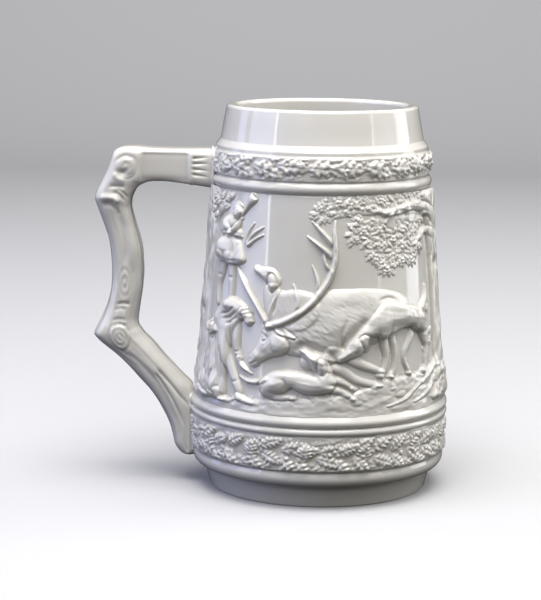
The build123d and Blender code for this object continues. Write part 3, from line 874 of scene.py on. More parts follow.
SPRAY_LEAF = 5.4
leaves = Clay(scene_wall, -9, 56, 86, z_top_bead + 0.5)
for limb in (
    ((30, 113.6, 1.2), (20, 115.2, 1.1), (10, 117.2, 0.9), (3, 116, 0.5)),
    ((30, 113, 0.9), (25, 108, 0.8), (20, 104.5, 0.6), (15.5, 105, 0.4)),
    ((34, 113, 0.9), (32, 106, 0.8), (28.5, 99, 0.6), (27.5, 93.5, 0.4)),
    ((40, 114, 0.9), (39, 107, 0.8), (40, 100, 0.6), (42, 95, 0.4)),
):
    leaves.limb(*limb, rise=0.8)


def spray(clay, x, y, heading, fan, count, seed, size=SPRAY_LEAF):
    """A fan of leaves spreading from one twig's end."""
    wobble = np.random.default_rng(seed)
    for number in range(count):
        share = number / max(count - 1, 1) - 0.5
        order = share * (-1) ** number
        angle = heading + fan * order + wobble.uniform(-9, 9)
        length = size * (1.05 - 0.5 * abs(order)) * wobble.uniform(0.85, 1.15)
        start = wobble.uniform(0.1, 0.9)
        clay.leaf(
            x + start * math.cos(math.radians(angle)),
            y + start * math.sin(math.radians(angle)),
            angle, length, length * 0.36, 4, rise=wobble.uniform(0.5, 0.8), keep=0.5, bite=0.3,
        )


leaves.mass(
    (12, 105), (14.6, 109.4), (20, 111.2), (29, 111.8), (38, 112), (46, 112), (50, 108), (49, 101),
    (45.4, 96), (41, 93), (36.5, 96), (31.5, 94), (27.5, 94.6), (24, 99), (19, 101), (15, 103),
    rise=0.35, edge=1.5,
)
leaves.mass(
    (-1.6, 112), (-1.2, 115.2), (2, 117.4), (10, 118.4), (20, 118.8), (34, 119.4), (50, 119.4),
    (50, 116.4), (40, 115.4), (28, 113.4), (17, 113), (9, 112.4), (4.6, 111.6), (0.6, 110.6),
    rise=0.35, edge=1.5,
)
for spray_number, (x, y, heading, fan, count) in enumerate((
    (0.8, 113.4, 95, 335, 15), (8, 115, 60, 170, 9), (17, 115.6, 75, 170, 9), (25, 115.6, 80, 170, 9),
    (33, 117, 90, 170, 6), (41, 117.5, 80, 160, 6), (47, 118, 60, 160, 5), (14.5, 106.5, 200, 200, 10),
    (20.5, 104.5, 235, 180, 10), (18, 110, 215, 170, 9), (25, 109.5, 240, 170, 9),
    (25.5, 103, 250, 180, 10), (31.5, 106, 250, 170, 10), (31, 99.5, 235, 190, 10),
    (27.8, 94.5, 255, 250, 11), (36.5, 109.5, 265, 170, 9), (37.5, 103, 250, 190, 10),
    (43.5, 108.5, 290, 180, 9), (41, 97.5, 255, 230, 11), (45.5, 101.5, 300, 190, 10),
    (36, 97.5, 230, 190, 9), (22.5, 99.5, 250, 190, 9), (48.5, 111.5, 300, 160, 8),
)):
    spray(leaves, x, y, heading, fan, count, 60 + spray_number)
leaves.comb(-42, 2.2, 0.6, 0.12, 91)
leaves.press("oak_foliage_relief", "oak_foliage", keep=0.75)


# ---- Huntsman with the horn ---------------------------------------------------------------
# He stands behind the fallen stag and blows a hunting horn, in a belted coat, breeches and cap.
# His small face is plain and calm, modelled in profile. Pressed clay, luted to the wall.

horn = Clay(scene_wall, -56, -20, 74, z_top_bead + 0.5)
horn.limb((-44.5, 95, 2.7), (-45.3, 89, 2.4), (-46.6, 84, 1.8), (-46.2, 77, 1.7), rise=1.2)
horn.limb((-39, 95, 2.5), (-38.8, 89, 2.1), (-38.2, 83, 1.7), (-38.4, 77, 1.6), rise=1.2)
horn.cut((-46.8, 88), (-44, 87.4), depth=0.3).cut((-40.6, 87.6), (-37.2, 87.2), depth=0.3)
horn.mass(
    (-50.0, 97), (-49.2, 100.2), (-46.4, 102.6), (-42.4, 103.6), (-37.8, 103.4), (-34.8, 101.4),
    (-32.8, 97.8),
    (-31.6, 94.4), (-34, 92.8), (-38.5, 92.2), (-44, 92.8), (-48.6, 94.2), rise=1.9, edge=2.8,
    crown=0.6, groove=0.8,
)
horn.swell(-44.4, 99.4, 4.4, 4.2, 0.9, 8).swell(-37.0, 98, 3.2, 6.0, -0.45)
for fold in (
    ((-39.0, 102.6), (-37.6, 98.5), (-38.2, 93.4)), ((-35.6, 101.4), (-34.8, 98), (-34.8, 94.4)),
):
    horn.cut(*fold, width=0.55, depth=0.4)
horn.cut((-47.4, 95.6), (-43, 94.4), (-38, 93.9), (-33.6, 94.6), width=0.4, depth=0.3)
horn.mass(
    (-46.8, 103.2), (-47.2, 106.4), (-46.4, 109.4), (-43.6, 110.8), (-39.8, 110.8), (-36.8, 109.6),
    (-35.4, 106.6), (-35.0, 103.2), rise=1.4, edge=2.2, crown=0.4,
)
horn.swell(-44.4, 107.8, 2.0, 2.4, 0.4)
horn.limb((-46.6, 103.4, 0.7), (-40.8, 104.4, 0.7), (-34.4, 103.2, 0.7), rise=0.45, keep=0.95)
horn.limb((-43.4, 109.4, 1.8, 0), (-42.2, 106.8, 1.7), (-40.0, 104.6, 1.4), rise=0.9, keep=0.85, groove=0.6)
horn.limb((-40.0, 104.4, 1.3, 0.5), (-37.2, 106.4, 1.3), (-35.9, 109.2, 1.0), rise=1.0, keep=0.85, groove=0.7)
horn.blob(-35.2, 110.6, 1.0, 1.1, 30, rise=0.8)
horn.limb(
    (-35.0, 111.4, 0.45), (-33.6, 113.2, 0.8), (-31.8, 115.6, 1.3), (-29.6, 118.4, 2.3), rise=1.4, groove=0.8,
)
horn.blob(-29.0, 119.0, 2.4, 0.9, -38, rise=0.5).blob(-28.9, 119.2, 1.7, 0.5, -38, rise=-0.8, keep=0.8)
horn.mass(
    (-39.6, 110.8), (-39.8, 113.0), (-38.6, 114.8), (-36.6, 115.0), (-35.2, 113.8), (-34.7, 112.6),
    (-35.3, 111.6), (-36.2, 110.3), (-38.0, 109.9), rise=1.7, edge=1.8, groove=0.6,
)
horn.cut((-36.6, 113.0), (-35.8, 113.1), width=0.25, depth=0.25).swell(-36.9, 111.6, 0.9, 0.8, 0.15)
horn.mass(
    (-40.5, 112.6), (-40.4, 115.0), (-38.2, 116.5), (-36.0, 115.9), (-34.5, 114.5), (-36.4, 114.6),
    (-38.4, 113.6), rise=0.6, edge=1.2, keep=0.85,
)
for shoot in (
    ((-32.0, 101.2, 0.7), (-31.0, 105.2, 0.6), (-28.4, 109.0, 0.3)),
    ((-31.2, 100.6, 0.7), (-28.6, 104.6, 0.7), (-23.8, 107.8, 0.3)),
    ((-30.8, 100.2, 0.7), (-27.6, 102.8, 0.6), (-23.8, 104.8, 0.3)),
):
    horn.limb(*shoot, rise=0.9)
horn.press("huntsman_horn_relief", "huntsman_horn")


# ---- Hound behind -------------------------------------------------------------------------
# A hound looks over the stag's neck, head high, one drop ear hanging forward. Pressed clay, luted
# to the wall before the stag, whose neck covers its chest.

behind = Clay(scene_wall, -31, 4, 68, 98)
behind.mass(
    (-21.6, 86), (-22, 80), (-20.4, 74), (-17, 70), (-6, 70), (0, 76), (-1.4, 82.6), (-5, 84.2),
    (-10, 84.8), (-14.6, 84.2), (-16.4, 87), rise=1.1, edge=2.2, crown=0.3,
)
behind.mass(
    (-27.2, 91.9), (-26.4, 93.2), (-24.0, 92.7), (-20.6, 92.7), (-17.4, 91.6), (-15.4, 88.8),
    (-15.8, 86.0), (-18.4, 84.8), (-21.0, 86.8), (-23.6, 88.8), (-26.2, 90.4), rise=1.3, edge=1.9, crown=0.2,
)
behind.cut((-26.6, 90.9), (-24.4, 89.9), (-22.4, 88.6), width=0.3, depth=0.45)
behind.blob(-26.6, 92.2, 0.6, 0.5, rise=0.25, keep=0.95)
behind.blob(-21.9, 91.2, 0.55, 0.42, rise=0.25, keep=0.95, groove=0.3)
behind.swell(-20.2, 91.8, 1.4, 0.8, 0.25).swell(-23.2, 91.8, 0.9, 0.7, -0.2)
behind.mass(
    (-19.6, 90.4), (-18.0, 90.2), (-16.8, 87.8), (-17.0, 85.0), (-18.4, 83.4), (-19.8, 84.8),
    (-20.4, 87.6), rise=0.4, edge=0.9, keep=0.9, groove=0.7,
)
behind.cut((-18.8, 89.0), (-18.4, 86.6), (-18.6, 84.8), width=0.3, depth=-0.15)
behind.cut((-17.0, 82.6), (-16.6, 79), (-18.2, 75), width=0.5, depth=0.4)
behind.comb(-60, 4, 0.6, 0.04, 41)
behind.press("hound_behind_relief", "hound_behind")


# ---- Stag ---------------------------------------------------------------------------------
# The stag has fallen: head low at the left, antlers spread over the scene, forelegs folded
# under the chest. Its coat is combed into the clay with a fine tool.

stag = Clay(scene_wall, -40, 46, 42, 116)
stag.limb((-4, 58, 3.0), (4, 57, 2.6), (9, 54.5, 1.9), (14, 50.8, 1.5), (21.5, 48.4, 1.2), rise=1.1)
stag.limb((5, 61, 3.2), (11, 59.4, 2.4), (16, 56.6, 1.8), (22.5, 54.0, 1.3), rise=1.3)
stag.blob(22.6, 48.3, 1.6, 0.9, -10, rise=0.9).blob(23.6, 53.6, 1.6, 0.9, -10, rise=0.9)
stag.mass(
    (-17, 62), (-16.5, 68.5), (-10, 74), (-4, 80), (1, 84.4), (8, 85.2), (17, 85.2), (26, 84.4),
    (33, 82.6), (38.4, 79.4), (41, 74), (39, 69.4), (33, 69), (26, 67.4), (19, 62.5), (10, 58.8),
    (2, 57), (-6, 59.6), (-12, 60.4), rise=1.5, edge=6.5, crown=0.7,
)
stag.swell(5, 72, 6.5, 8, 0.45, 35).swell(18, 71, 7, 6, 0.25).swell(34, 75, 5, 6, 0.4)
stag.swell(-8, 68, 6, 4.5, 0.25, 30).swell(11.5, 79, 8, 2.2, -0.2).swell(26, 66, 4, 4, -0.3)
stag.cut((22.5, 80.6), (27, 81.6), (31, 80.4), width=0.6, depth=0.45)
stag.cut((9, 62), (8, 68), (10.5, 75), width=0.8, depth=0.35)
stag.comb(-36, 2.2, 0.55, 0.15, 51, where=(-3, 68, 10, 12))
stag.comb(-28, 2.0, 0.5, 0.08, 52, where=(13, 77, 12, 7))
stag.comb(-48, 2.4, 0.6, 0.05, 53, where=(33, 74, 8, 10))
stag.cut((5, 58), (7.4, 62.4), (11.4, 67), (15.4, 71.4), (18.4, 75.4), width=1.9, depth=0.9)
stag.cut((4, 57), (9, 58.6), (14, 60.4), (18.6, 63), (20.4, 67), width=1.7, depth=0.9)
stag.cut((-9, 61.6), (-5.6, 64.4), (-1, 63), (3.8, 61.4), (6, 57.6), width=1.5, depth=0.8)
stag.mass(
    (-18.6, 71.4), (-21.2, 70.2), (-22.8, 66), (-24.8, 61.6), (-27.0, 58.4), (-27.2, 55.8),
    (-25.6, 54.4), (-23.2, 55.0), (-20.8, 57.2), (-17.6, 58.8), (-13.2, 60.2), (-10.6, 63.4),
    (-12.2, 67.6), (-15.2, 70.6), rise=1.6, edge=2.8, crown=0.5, keep=0.6, groove=0.5,
)
stag.swell(-15.4, 63.6, 3.6, 3.4, 0.1)
stag.swell(-24.6, 60.4, 1.4, 4.0, 0.25, 52)
stag.swell(-20.6, 60.6, 1.5, 1.6, -0.3)
stag.blob(-20.4, 65.9, 1.0, 0.7, 35, rise=0.35, keep=0.95, groove=0.35)
stag.cut((-22.4, 67.2), (-20.6, 67.6), (-18.8, 66.4), width=0.3, depth=0.3)
stag.cut((-26.8, 55.9), (-24.8, 56.0), (-22.8, 57.6), width=0.35, depth=0.5)
stag.blob(-26.2, 57.4, 0.6, 0.45, 50, rise=-0.4, keep=0.9)
stag.comb(55, 3.5, 0.5, 0.08, 54, where=(-20, 63, 8, 8))
stag.mass(
    (-16.4, 70.8), (-13.6, 70.6), (-10.6, 69.0), (-8.0, 66.8), (-11.0, 66.8), (-14.2, 67.8),
    (-16.6, 69.2), rise=1.0, edge=1.0, keep=0.8, groove=0.5,
)
stag.cut((-15.4, 69.8), (-12.6, 69.2), (-9.8, 67.5), width=0.35, depth=0.4)
for tine in (
    ((-8.8, 75.6, 1.0, 0.3), (-8.2, 78.6, 0.9), (-8.4, 82.4, 0.7), (-10.2, 87.0, 0.15, 0.7)),
    ((-18.6, 73.0, 0.9, 0.3), (-18.4, 76.6, 0.8), (-17.2, 80.8, 0.6), (-15.2, 84.6, 0.15, 0.7)),
    ((-3.6, 79.6, 1.0, 0.3), (-1.0, 84.0, 0.95), (-0.8, 88.6, 0.75), (-3.0, 94.4, 0.15, 0.7)),
    ((5.2, 91.0, 0.9, 0.3), (2.8, 94.0, 0.8), (1.8, 96.6, 0.6), (1.6, 99.6, 0.15, 0.7)),
    ((5.8, 96.0, 1.1, 0.3), (2.6, 99.6, 1.0), (-0.8, 102.2, 0.75), (-5.2, 105.2, 0.15, 0.7)),
    ((6.2, 100.6, 1.1, 0.3), (3.4, 104.0, 0.95), (0.4, 107.2, 0.7), (-3.4, 110.8, 0.15, 0.7)),
):
    stag.limb(*tine, rise=1.5, keep=0.45, groove=0.35)
for beam in (
    ((-19.4, 70.8, 1.4), (-22.0, 74.6, 1.25), (-25.8, 79.6, 1.15), (-30.2, 85.0, 1.0), (-35.2, 91.4, 0.3)),
    (
        (-18.6, 71.0, 1.5), (-13.6, 72.8, 1.4), (-8.4, 75.8, 1.35), (-3.6, 79.8, 1.3), (0.4, 84.4, 1.3),
        (3.6, 89.6, 1.2), (5.6, 95.4, 1.1), (6.0, 101.4, 1.0), (5.6, 106.4, 0.8), (5.8, 111.0, 0.25, 0.8),
    ),
):
    stag.limb(*beam, rise=2.0, keep=0.35, groove=0.9)
stag.cut((-20.4, 71.6), (-24.2, 76.8), (-28.8, 82.6), (-33.0, 88.0), width=0.3, depth=0.35)
stag.blob(-19.0, 70.9, 2.1, 1.1, 10, rise=0.5, keep=0.9)
stag.press("stag_relief", "stag", keep=0.45)


# ---- Kneeling huntsman --------------------------------------------------------------------
# He bends over the stag's head with a hunting knife, one knee down, his back and sleeve full of
# folds. The face turns down towards the stag, plain and calm. Pressed clay, laid on after the
# stag, with the folds drawn in by a tool.

kneel = Clay(scene_wall, -54, -18, z_scene, 83)
kneel.mass(
    (-47.0, 66), (-47.6, 70), (-45.6, 74.8), (-42.0, 78.2), (-37, 79.9), (-32.4, 79.0), (-29.0, 76.6),
    (-28.2, 74.0), (-30.4, 72.0), (-32.8, 70.4), (-34.8, 66.6), (-36.0, 61), (-36.8, 55), (-37.6, 48.6),
    (-37.2, 43.4), (-38.4, 41.2), (-42.6, 41.0), (-45.0, 42.4), (-45.6, 49), (-46.0, 56), (-46.4, 61.6),
    rise=1.7, edge=3.4, crown=0.5, groove=0.7,
)
kneel.swell(-37.5, 77.4, 7, 2.0, 0.5, -8)
kneel.swell(-44.6, 71.8, 2.4, 3.0, 0.45)
kneel.swell(-38, 72.0, 4.2, 2.6, -0.6, 20)
for fold in (
    ((-41.0, 73.0), (-37.4, 74.2), (-34.0, 76.8)), ((-40.2, 71.2), (-36.4, 72.4), (-32.8, 75.2)),
    ((-38.6, 69.6), (-35.8, 70.6), (-32.4, 73.2)),
):
    kneel.cut(*fold, width=0.45, depth=0.55)
for fold in (
    ((-45.4, 69.6), (-44.0, 63), (-44.4, 55), (-43.6, 47)),
    ((-42.6, 68.6), (-41.6, 61), (-41.8, 52), (-40.8, 43)),
    ((-39.8, 62), (-39.6, 54), (-39.0, 46)), ((-44.8, 58), (-43.0, 52), (-42.6, 44)),
):
    kneel.cut(*fold, width=0.6, depth=0.4)
kneel.limb(
    (-40.8, 67, 2.6, 0), (-39.4, 61, 2.5, 0.7), (-36.8, 55.4, 2.2), (-34.0, 50.2, 2.0), (-31.4, 45.4, 1.8),
    (-30.2, 42.4, 1.5), rise=1.5, keep=0.7, groove=0.7,
)
kneel.limb((-31, 42.4, 1.5), (-28.4, 41.4, 1.2), (-24.6, 40.6, 0.7), rise=1.3)
kneel.limb((-41.6, 42.0, 1.4, 0.3), (-38.6, 40.6, 1.1), (-35.4, 40.2, 0.6), rise=1.1)
kneel.cut((-35.2, 48.4), (-33.0, 47.8), (-31.2, 48.6), width=0.4, depth=0.3)
kneel.limb(
    (-34.6, 73.6, 1.9, 0), (-34.0, 70, 2.2, 0.6), (-33.8, 64.6, 2.1), (-33.2, 60.6, 1.7), (-32.0, 58.0, 1.3),
    rise=1.5, keep=0.55, groove=0.8,
)
kneel.cut((-34.4, 69), (-34.8, 65), (-34.2, 61), width=0.35, depth=0.3)
kneel.cut((-34.2, 60.0), (-32.8, 59.4), (-31.4, 59.8), width=0.35, depth=0.4)
kneel.blob(-31.4, 57.0, 1.3, 1.1, -40, rise=1.2, keep=0.7)
kneel.limb((-32.0, 57.2, 0.5), (-29.8, 54.2, 0.9), (-25.4, 51.6, 0.25), rise=1.2, keep=0.5, groove=0.4)
kneel.mass(
    (-30.6, 74.8), (-28.8, 75.6), (-27.0, 74.6), (-26.2, 73.0), (-25.6, 71.5), (-26.3, 70.9),
    (-27.2, 69.8), (-28.8, 69.9), (-30.4, 71.8), rise=1.5, edge=1.8, keep=0.5, groove=0.5,
)
kneel.cut((-31.8, 74.0), (-29.4, 74.5), (-26.4, 74.3), width=0.3, depth=0.35)
kneel.cut((-27.3, 72.8), (-26.5, 72.3), width=0.25, depth=0.2)
kneel.swell(-28.0, 71.5, 0.9, 0.9, 0.12)
kneel.mass(
    (-32.0, 74.0), (-31.2, 76.8), (-28.8, 77.4), (-26.8, 76.0), (-26.2, 74.4), (-28.2, 74.8),
    (-30.2, 73.4), rise=0.5, edge=1.5, keep=0.85,
)
kneel.press("huntsman_kneeling_relief", "huntsman_kneeling", keep=0.5)


# ---- Standing hound -----------------------------------------------------------------------
# The hound at the right noses the stag's chest, back straight, tail raised in a curve. Pressed
# clay, laid over the stag and the turf; its far legs are lower than its near ones.

hound = Clay(scene_wall, 3, 54, 46, 90)
hound.limb(
    (28.0, 70.4, 1.8, 0), (28.8, 66.6, 1.7, 0.7), (29.8, 62.6, 1.35), (29.9, 57.2, 1.1),
    (29.2, 53.4, 1.1), (28, 51.8, 1.2), rise=1.3,
)
hound.limb(
    (40.6, 70.0, 2.4, 0), (39.0, 66.6, 2.0, 0.7), (37.0, 63.4, 1.5), (34.6, 59.6, 1.1), (34.8, 56.0, 1.0),
    (36.2, 53.4, 1.1), (36.4, 52.0, 1.2), rise=1.3,
)
hound.limb((43.4, 73.6, 1.7), (46.6, 76.4, 1.3), (49.2, 80.0, 1.05), (50.0, 84.2, 0.4), rise=1.5)
hound.mass(
    (6.4, 58.6), (6.8, 60.4), (9.0, 62.6), (10.4, 65.4), (12.8, 68.2), (15.8, 71.8), (19.8, 76.4),
    (24.4, 80.2),
    (30.6, 79.8), (36.8, 78.2), (42, 76.8), (45.8, 73.8), (47.0, 69.6), (45.4, 66.4), (41.2, 67.2),
    (37.2, 69.4), (32, 68.2), (27.2, 66.6), (23.6, 65.8), (20.8, 67.0), (18.9, 66.2), (18.2, 63.6),
    (16.0, 60.8), (13.0, 59.4), (10.0, 58.2), (7.6, 57.6), rise=1.9, edge=2.4, crown=0.9, groove=0.9,
)
hound.swell(24.2, 73.4, 3.4, 4.6, 0.4, -15)
hound.swell(42.6, 71.8, 3.6, 4.2, 0.45)
hound.swell(36, 73.4, 1.6, 4.0, -0.3, -15)
hound.swell(18.6, 71.6, 2.4, 2.4, -0.3, 45).swell(30.5, 78.6, 9, 1.6, 0.35, -8).swell(32, 70.6, 8, 1.8, -0.3)
hound.limb(
    (42.4, 76.4, 3.0, 0), (44.2, 71.4, 3.2, 0.25), (46.4, 65.8, 2.4, 0.9), (48.4, 60.4, 1.5),
    (47.2, 56.4, 1.25),
    (46.8, 53.2, 1.2), (45.4, 51.6, 1.3), rise=1.6, keep=0.6, groove=0.7,
)
hound.limb(
    (24.0, 77, 3.0, 0), (24.4, 71.6, 2.9, 0.25), (25.2, 65.2, 2.0, 0.9), (26.0, 59.4, 1.5), (25.2, 55.2, 1.3),
    (23.6, 52.4, 1.4), rise=1.7, keep=0.6, groove=0.8,
)
hound.soften(23.8, 72, 3.8).soften(43.8, 72, 3.8)
hound.cut(
    (26.4, 67.6), (30.0, 67.6), (34.0, 68.6), (38.0, 69.4), (41.4, 67.2), (44.4, 62.4), width=0.5,
    depth=0.6,
)
hound.cut((7.4, 58.9), (9.6, 59.8), (11.6, 61.6), width=0.35, depth=0.5).swell(13.6, 64.4, 2.6, 2.6, 0.3)
hound.blob(7.0, 59.9, 0.6, 0.5, 40, rise=0.25, keep=0.95)
hound.blob(11.4, 63.8, 0.6, 0.45, 40, rise=0.25, keep=0.95, groove=0.3)
hound.mass(
    (14.4, 67.0), (16.4, 68.4), (18.8, 67.2), (19.8, 64.4), (19.0, 61.8), (17.4, 61.2), (16.2, 63.0),
    (15.2, 65.0), rise=0.35, edge=1.2, keep=0.9, groove=0.6,
)
hound.cut((17.2, 67.0), (18.0, 65.0), (17.8, 62.8), width=0.35, depth=0.2)
for paw_x, paw_y in ((23.2, 51.8), (27.8, 51.0), (45.0, 51.2), (36.8, 51.4)):
    hound.blob(paw_x, paw_y, 1.8, 0.95, -6, rise=0.9, keep=0.7)
    hound.cut((paw_x - 1.3, paw_y + 0.3), (paw_x - 1.0, paw_y - 0.6), width=0.22, depth=0.3)
    hound.cut((paw_x - 0.5, paw_y + 0.5), (paw_x - 0.3, paw_y - 0.6), width=0.22, depth=0.3)
hound.comb(-8, 5, 0.6, 0.05, 55)
hound.press("hound_standing_relief", "hound_standing", keep=0.4)


# ---- Lying hound --------------------------------------------------------------------------
# The hound in front lies stretched on the turf with its head raised and both forelegs out.
# Pressed clay, laid over the stag's forelegs.

lying = Clay(scene_wall, -33, 16, z_scene, 67)
lying.limb((-19.4, 50.8, 1.3), (-22.6, 49.0, 1.0), (-26.8, 48.8, 0.8), (-31.0, 50.2, 0.25), rise=1.3)
lying.limb(
    (-1, 48.6, 2.2, 0), (3.0, 47.6, 1.9, 0.6), (6.4, 47.2, 1.4), (9.4, 46.0, 1.2), (12.4, 43.9, 1.0),
    rise=1.3,
)
lying.mass(
    (-21.8, 45.8), (-22.0, 48.8), (-19.6, 51.8), (-16, 53.8), (-11.8, 54.4), (-7, 54.0), (-3.4, 53.8),
    (-1.4, 53.6), (-2.6, 55.8), (-4.0, 58.0), (-5.6, 60.2), (-6.8, 61.8), (-6.6, 62.9), (-5.0, 63.0),
    (-2.6, 62.0), (0.2, 61.6), (2.8, 60.0), (4.4, 56.6), (5.6, 52.6), (6.2, 49.6), (4.6, 46.6),
    (0.6, 45.6), (-3.6, 45.4), (-7.0, 46.4), (-9.8, 47.6), (-12.6, 45.6), (-17, 44.2), (-20.2, 44.2),
    rise=1.7, edge=2.6, crown=0.8, groove=0.9,
)
lying.swell(-16.2, 49.0, 3.4, 3.2, 0.5).swell(1.6, 50.6, 3.4, 3.0, 0.35).swell(-7.4, 50.6, 4.4, 2.2, -0.15)
lying.swell(-12.4, 52.8, 9, 1.2, 0.3, 2).swell(-1.6, 59.4, 4.6, 2.6, 0.6, -38)
lying.cut((-13.0, 51.6), (-11.6, 49.4), (-12.4, 46.6), width=0.6, depth=0.4)
lying.cut((-1.6, 54.6), (-0.4, 52.6), (0.8, 50.4), width=0.5, depth=0.35)
lying.limb(
    (-17.4, 47.4, 2.0, 0), (-19.4, 45.2, 1.5, 0.6), (-15.6, 43.9, 1.2), (-9.6, 43.9, 1.0), rise=1.2,
    keep=0.7, groove=0.6,
)
lying.limb(
    (1.0, 52.6, 2.4, 0), (4.4, 51.4, 1.8, 0.5), (7.6, 50.6, 1.35), (10.0, 49.4, 1.1), (12.2, 48.0, 0.9),
    rise=1.3, keep=0.7, groove=0.6,
)
lying.soften(2.4, 51.4, 2.6).soften(-17.6, 46.8, 2.4)
lying.cut((-6.4, 61.4), (-4.8, 60.4), (-3.2, 58.6), width=0.3, depth=0.4)
lying.blob(-6.4, 62.4, 0.55, 0.45, -20, rise=0.3, keep=0.95)
lying.blob(-2.4, 60.7, 0.5, 0.4, -20, rise=0.25, keep=0.95, groove=0.35)
lying.mass(
    (0.2, 59.6), (1.8, 59.2), (2.6, 57.0), (2.4, 54.2), (1.0, 53.2), (-0.2, 54.6), (-0.4, 57.2),
    rise=0.6, edge=0.9, keep=0.9, groove=0.7,
)
for paw_x, paw_y, lean in ((12.6, 47.6, -20), (12.8, 43.6, -25), (-8.8, 43.8, 0)):
    lying.blob(paw_x, paw_y, 1.5, 0.95, lean, rise=0.8, keep=0.7)
    lying.cut((paw_x + 1.3, paw_y + 0.4), (paw_x + 0.3, paw_y + 0.4), width=0.22, depth=0.3)
    lying.cut((paw_x + 1.3, paw_y - 0.4), (paw_x + 0.3, paw_y - 0.3), width=0.22, depth=0.3)
lying.comb(-5, 5, 0.6, 0.05, 56)
lying.press("hound_lying_relief", "hound_lying", keep=0.4)


# ---- Seated hound -------------------------------------------------------------------------
# A hound sits at the kneeling huntsman's heel with its back to us, looking towards the stag.
# Pressed clay with a combed coat.

seated = Clay(scene_wall, -60, -28, z_scene, 74)
seated.limb((-44.6, 42.0, 1.3), (-39.6, 40.2, 1.0), (-35, 40.2, 0.7), (-32.4, 41.4, 0.3), rise=1.2)
seated.mass(
    (-54.0, 41.6), (-54.4, 46), (-52.8, 53), (-51.2, 59.4), (-49.0, 64), (-46.2, 65.4), (-43.8, 62.4),
    (-42.4, 56), (-40.4, 49), (-38.8, 43), (-40.6, 40.2), (-46.4, 39.4), (-52, 39.8), rise=1.9,
    edge=4.0, crown=0.6,
)
seated.swell(-51.2, 45.6, 2.8, 4.2, 0.55, 10).swell(-42.4, 45.6, 2.6, 4.2, 0.55, -10)
seated.cut((-46.6, 62), (-47, 54), (-46.6, 44.6), width=0.8, depth=0.4)
seated.cut((-50.4, 51.6), (-48.6, 48), (-48.8, 43), width=0.6, depth=0.6)
seated.cut((-43.4, 51.6), (-44.8, 48), (-44.6, 43), width=0.6, depth=0.6)
seated.limb((-52.2, 42.4, 1.7), (-50, 40.6, 1.5), (-47.6, 40.2, 1.1), rise=0.9, keep=0.75, groove=0.4)
seated.limb((-40.2, 43.2, 1.7), (-39.4, 40.8, 1.5), (-37.6, 40.4, 1.2), rise=0.9, keep=0.75, groove=0.4)
seated.mass(
    (-51.2, 66.0), (-50.8, 69.0), (-48.2, 70.8), (-45.2, 69.8), (-42.8, 68.0), (-41.6, 66.2),
    (-42.8, 65.0), (-45.4, 64.4), (-49.0, 63.8), rise=1.9, edge=2.2, keep=0.6, groove=0.5,
)
seated.mass(
    (-51.2, 69.0), (-49.6, 68.8), (-49.0, 65.6), (-50.0, 62.2), (-51.8, 63.4), (-52.4, 67.0),
    rise=0.8, edge=1.0, keep=0.85, groove=0.6,
)
seated.mass(
    (-46.6, 69.4), (-45.0, 68.6), (-44.8, 65.4), (-46.0, 62.6), (-47.4, 64.4), (-47.6, 67.6),
    rise=0.8, edge=1.0, keep=0.85, groove=0.6,
)
seated.comb(78, 4, 0.7, 0.2, 57)
seated.press("hound_seated_relief", "hound_seated", keep=0.45)


# ---- Back oak -----------------------------------------------------------------------------
# The far side carries a quieter piece of the same wood: one oak between a resting doe and a
# trotting hound. Pressed clay, its bark combed in like that of the other trees.

rear_oak = Clay(scene_wall, 106, 172, z_scene, z_top_bead + 0.5)
rear_oak.mass(
    (127, 38.8), (132.6, 50), (133.6, 72), (131.6, 94), (131.2, 112.6), (138.2, 113.4), (139.2, 94),
    (141, 72), (142.4, 50), (148.6, 38.8), rise=1.5, edge=3.2,
)
rear_oak.limb((135, 88, 2.6), (130, 95.6, 1.8), (125, 101.4, 1.3), (114.5, 106.6, 0.7), rise=1.2)
rear_oak.limb((138, 92, 2.4), (143, 99.4, 1.7), (148.4, 104.4, 1.2), (158, 108.4, 0.7), rise=1.2)
rear_oak.limb((131, 44, 2.2), (126, 41, 1.4), (119, 39.6, 0.7), rise=1.1)
rear_oak.limb((144, 44, 2.2), (150, 41.2, 1.4), (157, 39.8, 0.7), rise=1.1)
rear_oak.comb(90, 13, 1.5, 0.34, 61).comb(94, 6, 0.7, 0.16, 62)
rear_oak.blob(136.4, 68, 1.6, 2.4, rise=0.3).blob(136.4, 68, 0.8, 1.3, rise=-0.5, keep=0.8)
rear_oak.cut((134.6, 50), (136, 60), (135, 72), depth=0.5).cut((139, 56), (138.2, 70), (139, 82), depth=0.5)
rear_oak.press("back_oak_relief", "back_oak")


# ---- Back foliage -------------------------------------------------------------------------
# The crown of the back oak: sprays of the same small lobed leaves, pressed in clay over its
# boughs and two thin twigs.

crown = Clay(scene_wall, 100, 182, 92, z_top_bead + 0.5)
for limb in (
    ((136, 110, 1.2), (126, 112.6, 1.0), (114, 114, 0.5)),
    ((138, 111, 1.2), (150, 113, 1.0), (162, 112.6, 0.5)),
):
    crown.limb(*limb, rise=0.8)
for spray_number, (x, y, heading, fan, count) in enumerate((
    (106.5, 114, 150, 230, 8), (112, 109, 220, 230, 8), (115, 116, 95, 200, 7), (119, 110.5, 240, 220, 8),
    (123, 116.5, 80, 190, 7), (125.5, 108, 250, 230, 8), (131, 116.8, 100, 190, 7), (132, 110, 250, 210, 8),
    (138, 116.8, 85, 190, 7), (139.5, 109, 280, 210, 8), (145.5, 116.6, 90, 190, 7),
    (147, 110.5, 280, 220, 8),
    (152.5, 116.4, 80, 190, 7), (154, 108.6, 270, 230, 8), (159.5, 114.5, 70, 210, 7),
    (160, 107, 290, 230, 8),
    (165.5, 111, 20, 230, 8),
)):
    spray(crown, x, y, heading, fan, count, 160 + spray_number)
crown.press("back_foliage_relief", "back_foliage", keep=0.75)


# ---- Resting doe --------------------------------------------------------------------------
# A doe lies at the foot of the back oak, head up, her legs folded under her. Pressed clay with a
# finely combed coat.

